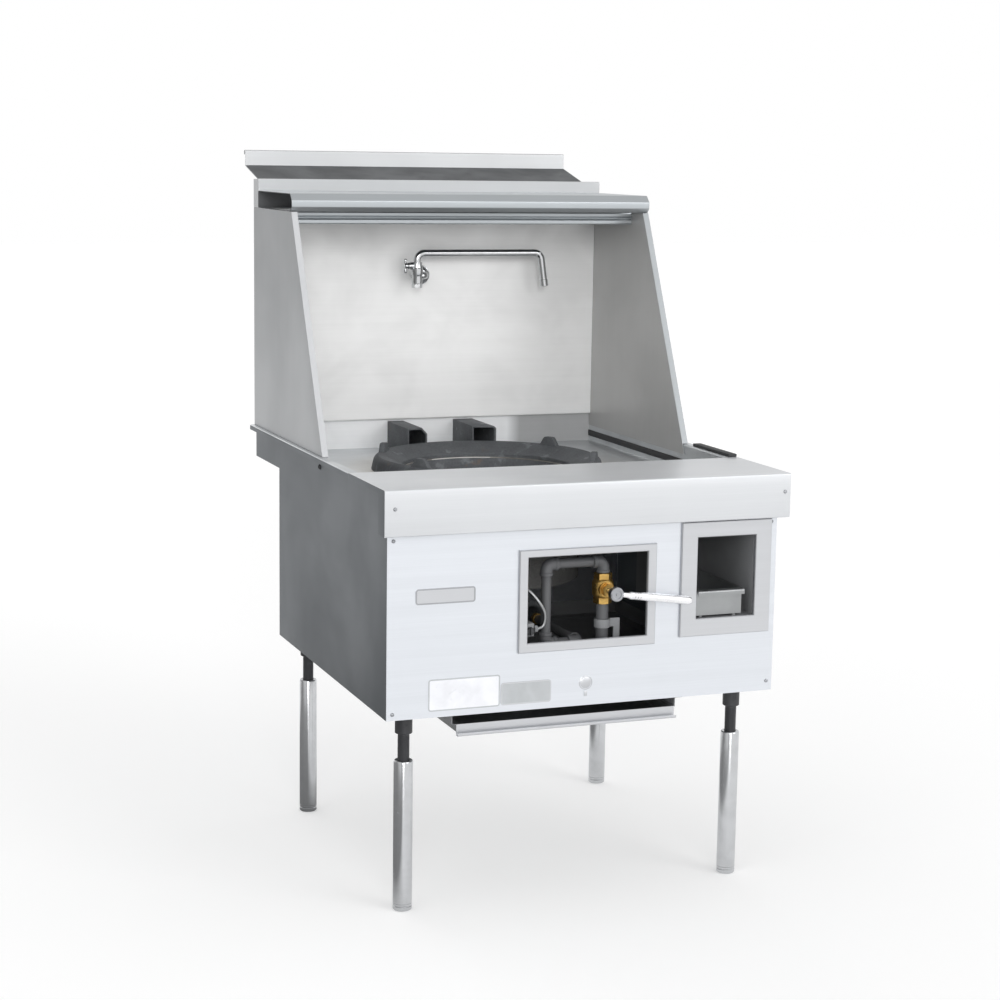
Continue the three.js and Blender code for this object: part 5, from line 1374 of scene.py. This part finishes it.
class WOKRANGE_OT_legs(Step, bpy.types.Operator):
    """Builds the four legs: socket and threaded stem, tube and foot"""

    bl_idname = "wokrange.legs"
    bl_label = "Legs"

    BOLT = 23.5  # how far the plate's bolts stand from its middle, each way

    def build(self):
        for corner in CORNERS:
            self.socket("leg_socket_" + corner)
            self.tube("leg_tube_" + corner, "leg_" + corner)
            self.foot("leg_foot_" + corner, "leg_" + corner)

    def socket(self, node):
        span = Span(node)
        x, y, top, low = span.x, span.y, span.z1, span.z0
        plate = block(x - 30, x + 30, y - 30, y + 30, top - 4, top, 0.001)
        collar = spun([(0, -46.7), (17, -46.7), (18.5, -45.4), (18.5, -12), (19.4, -8),
                       (22.5, -3.4), (22.5, -2), (0, -2)], at(x, y, top))
        stem = spun([(0, low), (10.6, low), (12.2, low + 2), (12.2, top - 44), (0, top - 44)],
                    at(x, y, 0))
        pitch = sizes().thread_pitch / MM
        turns = thread(at(x, y, low + 4), UP, 12.0, top - 52 - low, pitch, 0.8)
        grub = nut(at(x, y - 17.6, top - 28), -BACK, 4.2, 1.6, 1.6, 0.5)
        bolts = [
            nut(at(x + dx, y + dy, top - 7.6), UP, 5.4, 3.6, chamfer=0.7)
            for dx in (-self.BOLT, self.BOLT) for dy in (-self.BOLT, self.BOLT)
        ]
        piece(node + "_turned", [plate, collar, stem, turns, grub, *bolts], "black_pipe",
              "pipe_paint", node)

    def tube(self, node, leg):
        span = Span(node)
        tall, wide = span.z1 - span.z0, span.radius
        inner = wide - 2
        shell = spun([
            (inner, 0), (wide, 0), (wide, tall - 3), (wide - 0.6, tall - 1.2), (wide - 2, tall),
            (13.6, tall), (13.6, tall - 22), (inner, tall - 22), (inner, 0),
        ], at(span.x, span.y, span.z0))
        piece(node + "_turned", shell, "chrome", "leg_chrome", node, body=leg)

    def foot(self, node, leg):
        span = Span(node)
        wide = span.radius
        shell = spun([
            (0, 0), (wide - 5, 0), (wide - 2, 0.8), (wide, 3), (wide, 9), (wide - 1.2, 10),
            (wide - 1.2, 11.2), (wide, 12.2), (wide, 15.4), (wide - 0.6, 16), (wide - 2.4, 16),
            (wide - 2.4, 34), (0, 34),
        ], at(span.x, span.y, 0))
        piece(node + "_turned", shell, "chrome", "leg_chrome", node, body=leg)


# ---- Small hardware ----------------------------------------------------------------------------

FRONT = 28.0  # front panel's face, back from the apron
PANEL_SCREWS = ((-429, 445), (429, 453), (-429, 806), (429, 806))  # across and up
APRON_SCREWS = ((-435, 876), (444, 875))
SIDE_SCREW = (515, 889)  # back and up
PLATES = (  # name, finishes of plate and border, left and right end, foot and top
    ("blank_light_plate", "light_plate grey_plate", -352, -194, 445, 513),
    ("blank_badge", "trim_steel screw_zinc", -381, -251, 671, 704),
    ("blank_grey_plate", "grey_plate trim_steel", -192, -79, 446, 494),
)
KNOCK_OUT_LEVEL = 481


def screw(place, out, radius):
    """A round-headed screw with a round socket in its head."""
    r = radius / MM
    return spun([(0, -0.5), (r, -0.5), (r, 0.4), (r * 0.86, r * 0.36), (r * 0.62, r * 0.56),
                 (r * 0.42, r * 0.62), (r * 0.40, r * 0.2), (0, r * 0.2)], place, out, 18)


def blank_plate(x0, x1, z0, z1):
    """A thin plate on the front panel, with rounded corners and a raised border."""
    thick = sizes().plate_thickness
    bm = bmesh.new()
    bmesh.ops.create_grid(bm, x_segments=1, y_segments=1, size=0.5)
    size = Matrix.Diagonal(((x1 - x0) * MM, (z1 - z0) * MM, 1, 1))
    bmesh.ops.transform(bm, matrix=size, verts=bm.verts[:])
    bmesh.ops.bevel(
        bm, geom=bm.verts[:], offset=0.006, offset_type="OFFSET", segments=5, profile=0.5,
        affect="VERTICES", clamp_overlap=True, material=-1,
    )
    made = pulled(bm, bm.faces[:], (0, 0, thick))
    lid = [item for item in made if isinstance(item, bmesh.types.BMFace)]
    bmesh.ops.recalc_face_normals(bm, faces=bm.faces[:])
    border = bmesh.ops.inset_region(bm, faces=lid, thickness=0.003, use_even_offset=True)
    for face in border["faces"]:
        face.material_index = 1
    bmesh.ops.inset_region(
        bm, faces=lid, thickness=0.0004, depth=-thick * 0.35, use_even_offset=True
    )
    place = at((x0 + x1) / 2, FRONT, (z0 + z1) / 2)
    turn = Matrix.Rotation(math.pi / 2, 4, "X")
    bmesh.ops.transform(bm, matrix=Matrix.Translation(place) @ turn, verts=bm.verts[:])
    return bm


class WOKRANGE_OT_hardware(Step, bpy.types.Operator):
    """Adds the screws of the front and the sides, the blank plates and the knock-out"""

    bl_idname = "wokrange.hardware"
    bl_label = "Small hardware"

    def build(self):
        radius, side = sizes().screw_radius, Span("side_panel_left").x0
        heads = [screw(at(x, FRONT, z), -BACK, radius) for x, z in PANEL_SCREWS]
        heads += [screw(at(x, 0, z), -BACK, radius) for x, z in APRON_SCREWS]
        piece("panel_screws", heads, None, "screw_zinc")
        piece("side_screws", [
            screw(at(side * hand, *SIDE_SCREW), -ACROSS * hand, radius * 1.5) for hand in (1, -1)
        ], None, "seal_rubber")
        for name, materials, *edges in PLATES:
            piece(name, blank_plate(*edges), None, materials, smooth=SHEET_SMOOTH)
        knock = spun([(0, 0.9), (11.2, 0.7), (12.4, 0.1), (12.4, -0.5), (13.4, -0.5), (13.4, 0.2),
                      (14.2, 0.8), (15.4, 0.2), (15.4, -0.8), (0, -0.8)],
                     at(0, FRONT, KNOCK_OUT_LEVEL), -BACK)
        tab = block(-3.5, 3.5, FRONT - 1.4, FRONT + 0.5, KNOCK_OUT_LEVEL - 29, KNOCK_OUT_LEVEL - 18,
                    0.0006)
        piece("knock_out", [knock, tab], "satin_steel", "trim_steel")


# ---- Panel and run -----------------------------------------------------------------------------

OPERATORS = (
    WOKRANGE_OT_stage, WOKRANGE_OT_panels, WOKRANGE_OT_splashes, WOKRANGE_OT_flue_and_shelf,
    WOKRANGE_OT_wok_ring, WOKRANGE_OT_chamber, WOKRANGE_OT_burner, WOKRANGE_OT_gas_pipes,
    WOKRANGE_OT_gas_valve, WOKRANGE_OT_pilot, WOKRANGE_OT_faucet, WOKRANGE_OT_legs,
    WOKRANGE_OT_hardware,
)
STEPS = tuple(step.bl_idname for step in OPERATORS)


class WOKRANGE_PT_panel(bpy.types.Panel):
    """Lists the range's settings and the steps that build it"""

    bl_label = "Wok range"
    bl_idname = "WOKRANGE_PT_panel"
    bl_space_type = "VIEW_3D"
    bl_region_type = "UI"
    bl_category = "Wok range"

    def draw(self, context):
        for title, group in (("Colours", colours()), ("Sizes", sizes())):
            box = self.layout.box()
            box.label(text=title)
            for name in group.bl_rna.properties.keys():
                if name not in ("rna_type", "name"):
                    box.prop(group, name)
        column = self.layout.column(align=True)
        for step in STEPS:
            column.operator(step)


CLASSES = (WokRangeColours, WokRangeSizes, *OPERATORS, WOKRANGE_PT_panel)


def register():
    for item in CLASSES:
        bpy.utils.register_class(item)
    bpy.types.Scene.wok_range_colours = bpy.props.PointerProperty(type=WokRangeColours)
    bpy.types.Scene.wok_range_sizes = bpy.props.PointerProperty(type=WokRangeSizes)


def unregister():
    del bpy.types.Scene.wok_range_sizes
    del bpy.types.Scene.wok_range_colours
    for item in reversed(CLASSES):
        bpy.utils.unregister_class(item)


def main():
    register()
    for step in STEPS:
        getattr(bpy.ops.wokrange, step.split(".")[1])()
    corners = {"cad": CAD_BOX, "visual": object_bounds()}
    {name: [list(low), list(high)] for name, (low, high) in corners.items()}


if __name__ == "__main__":
    main()
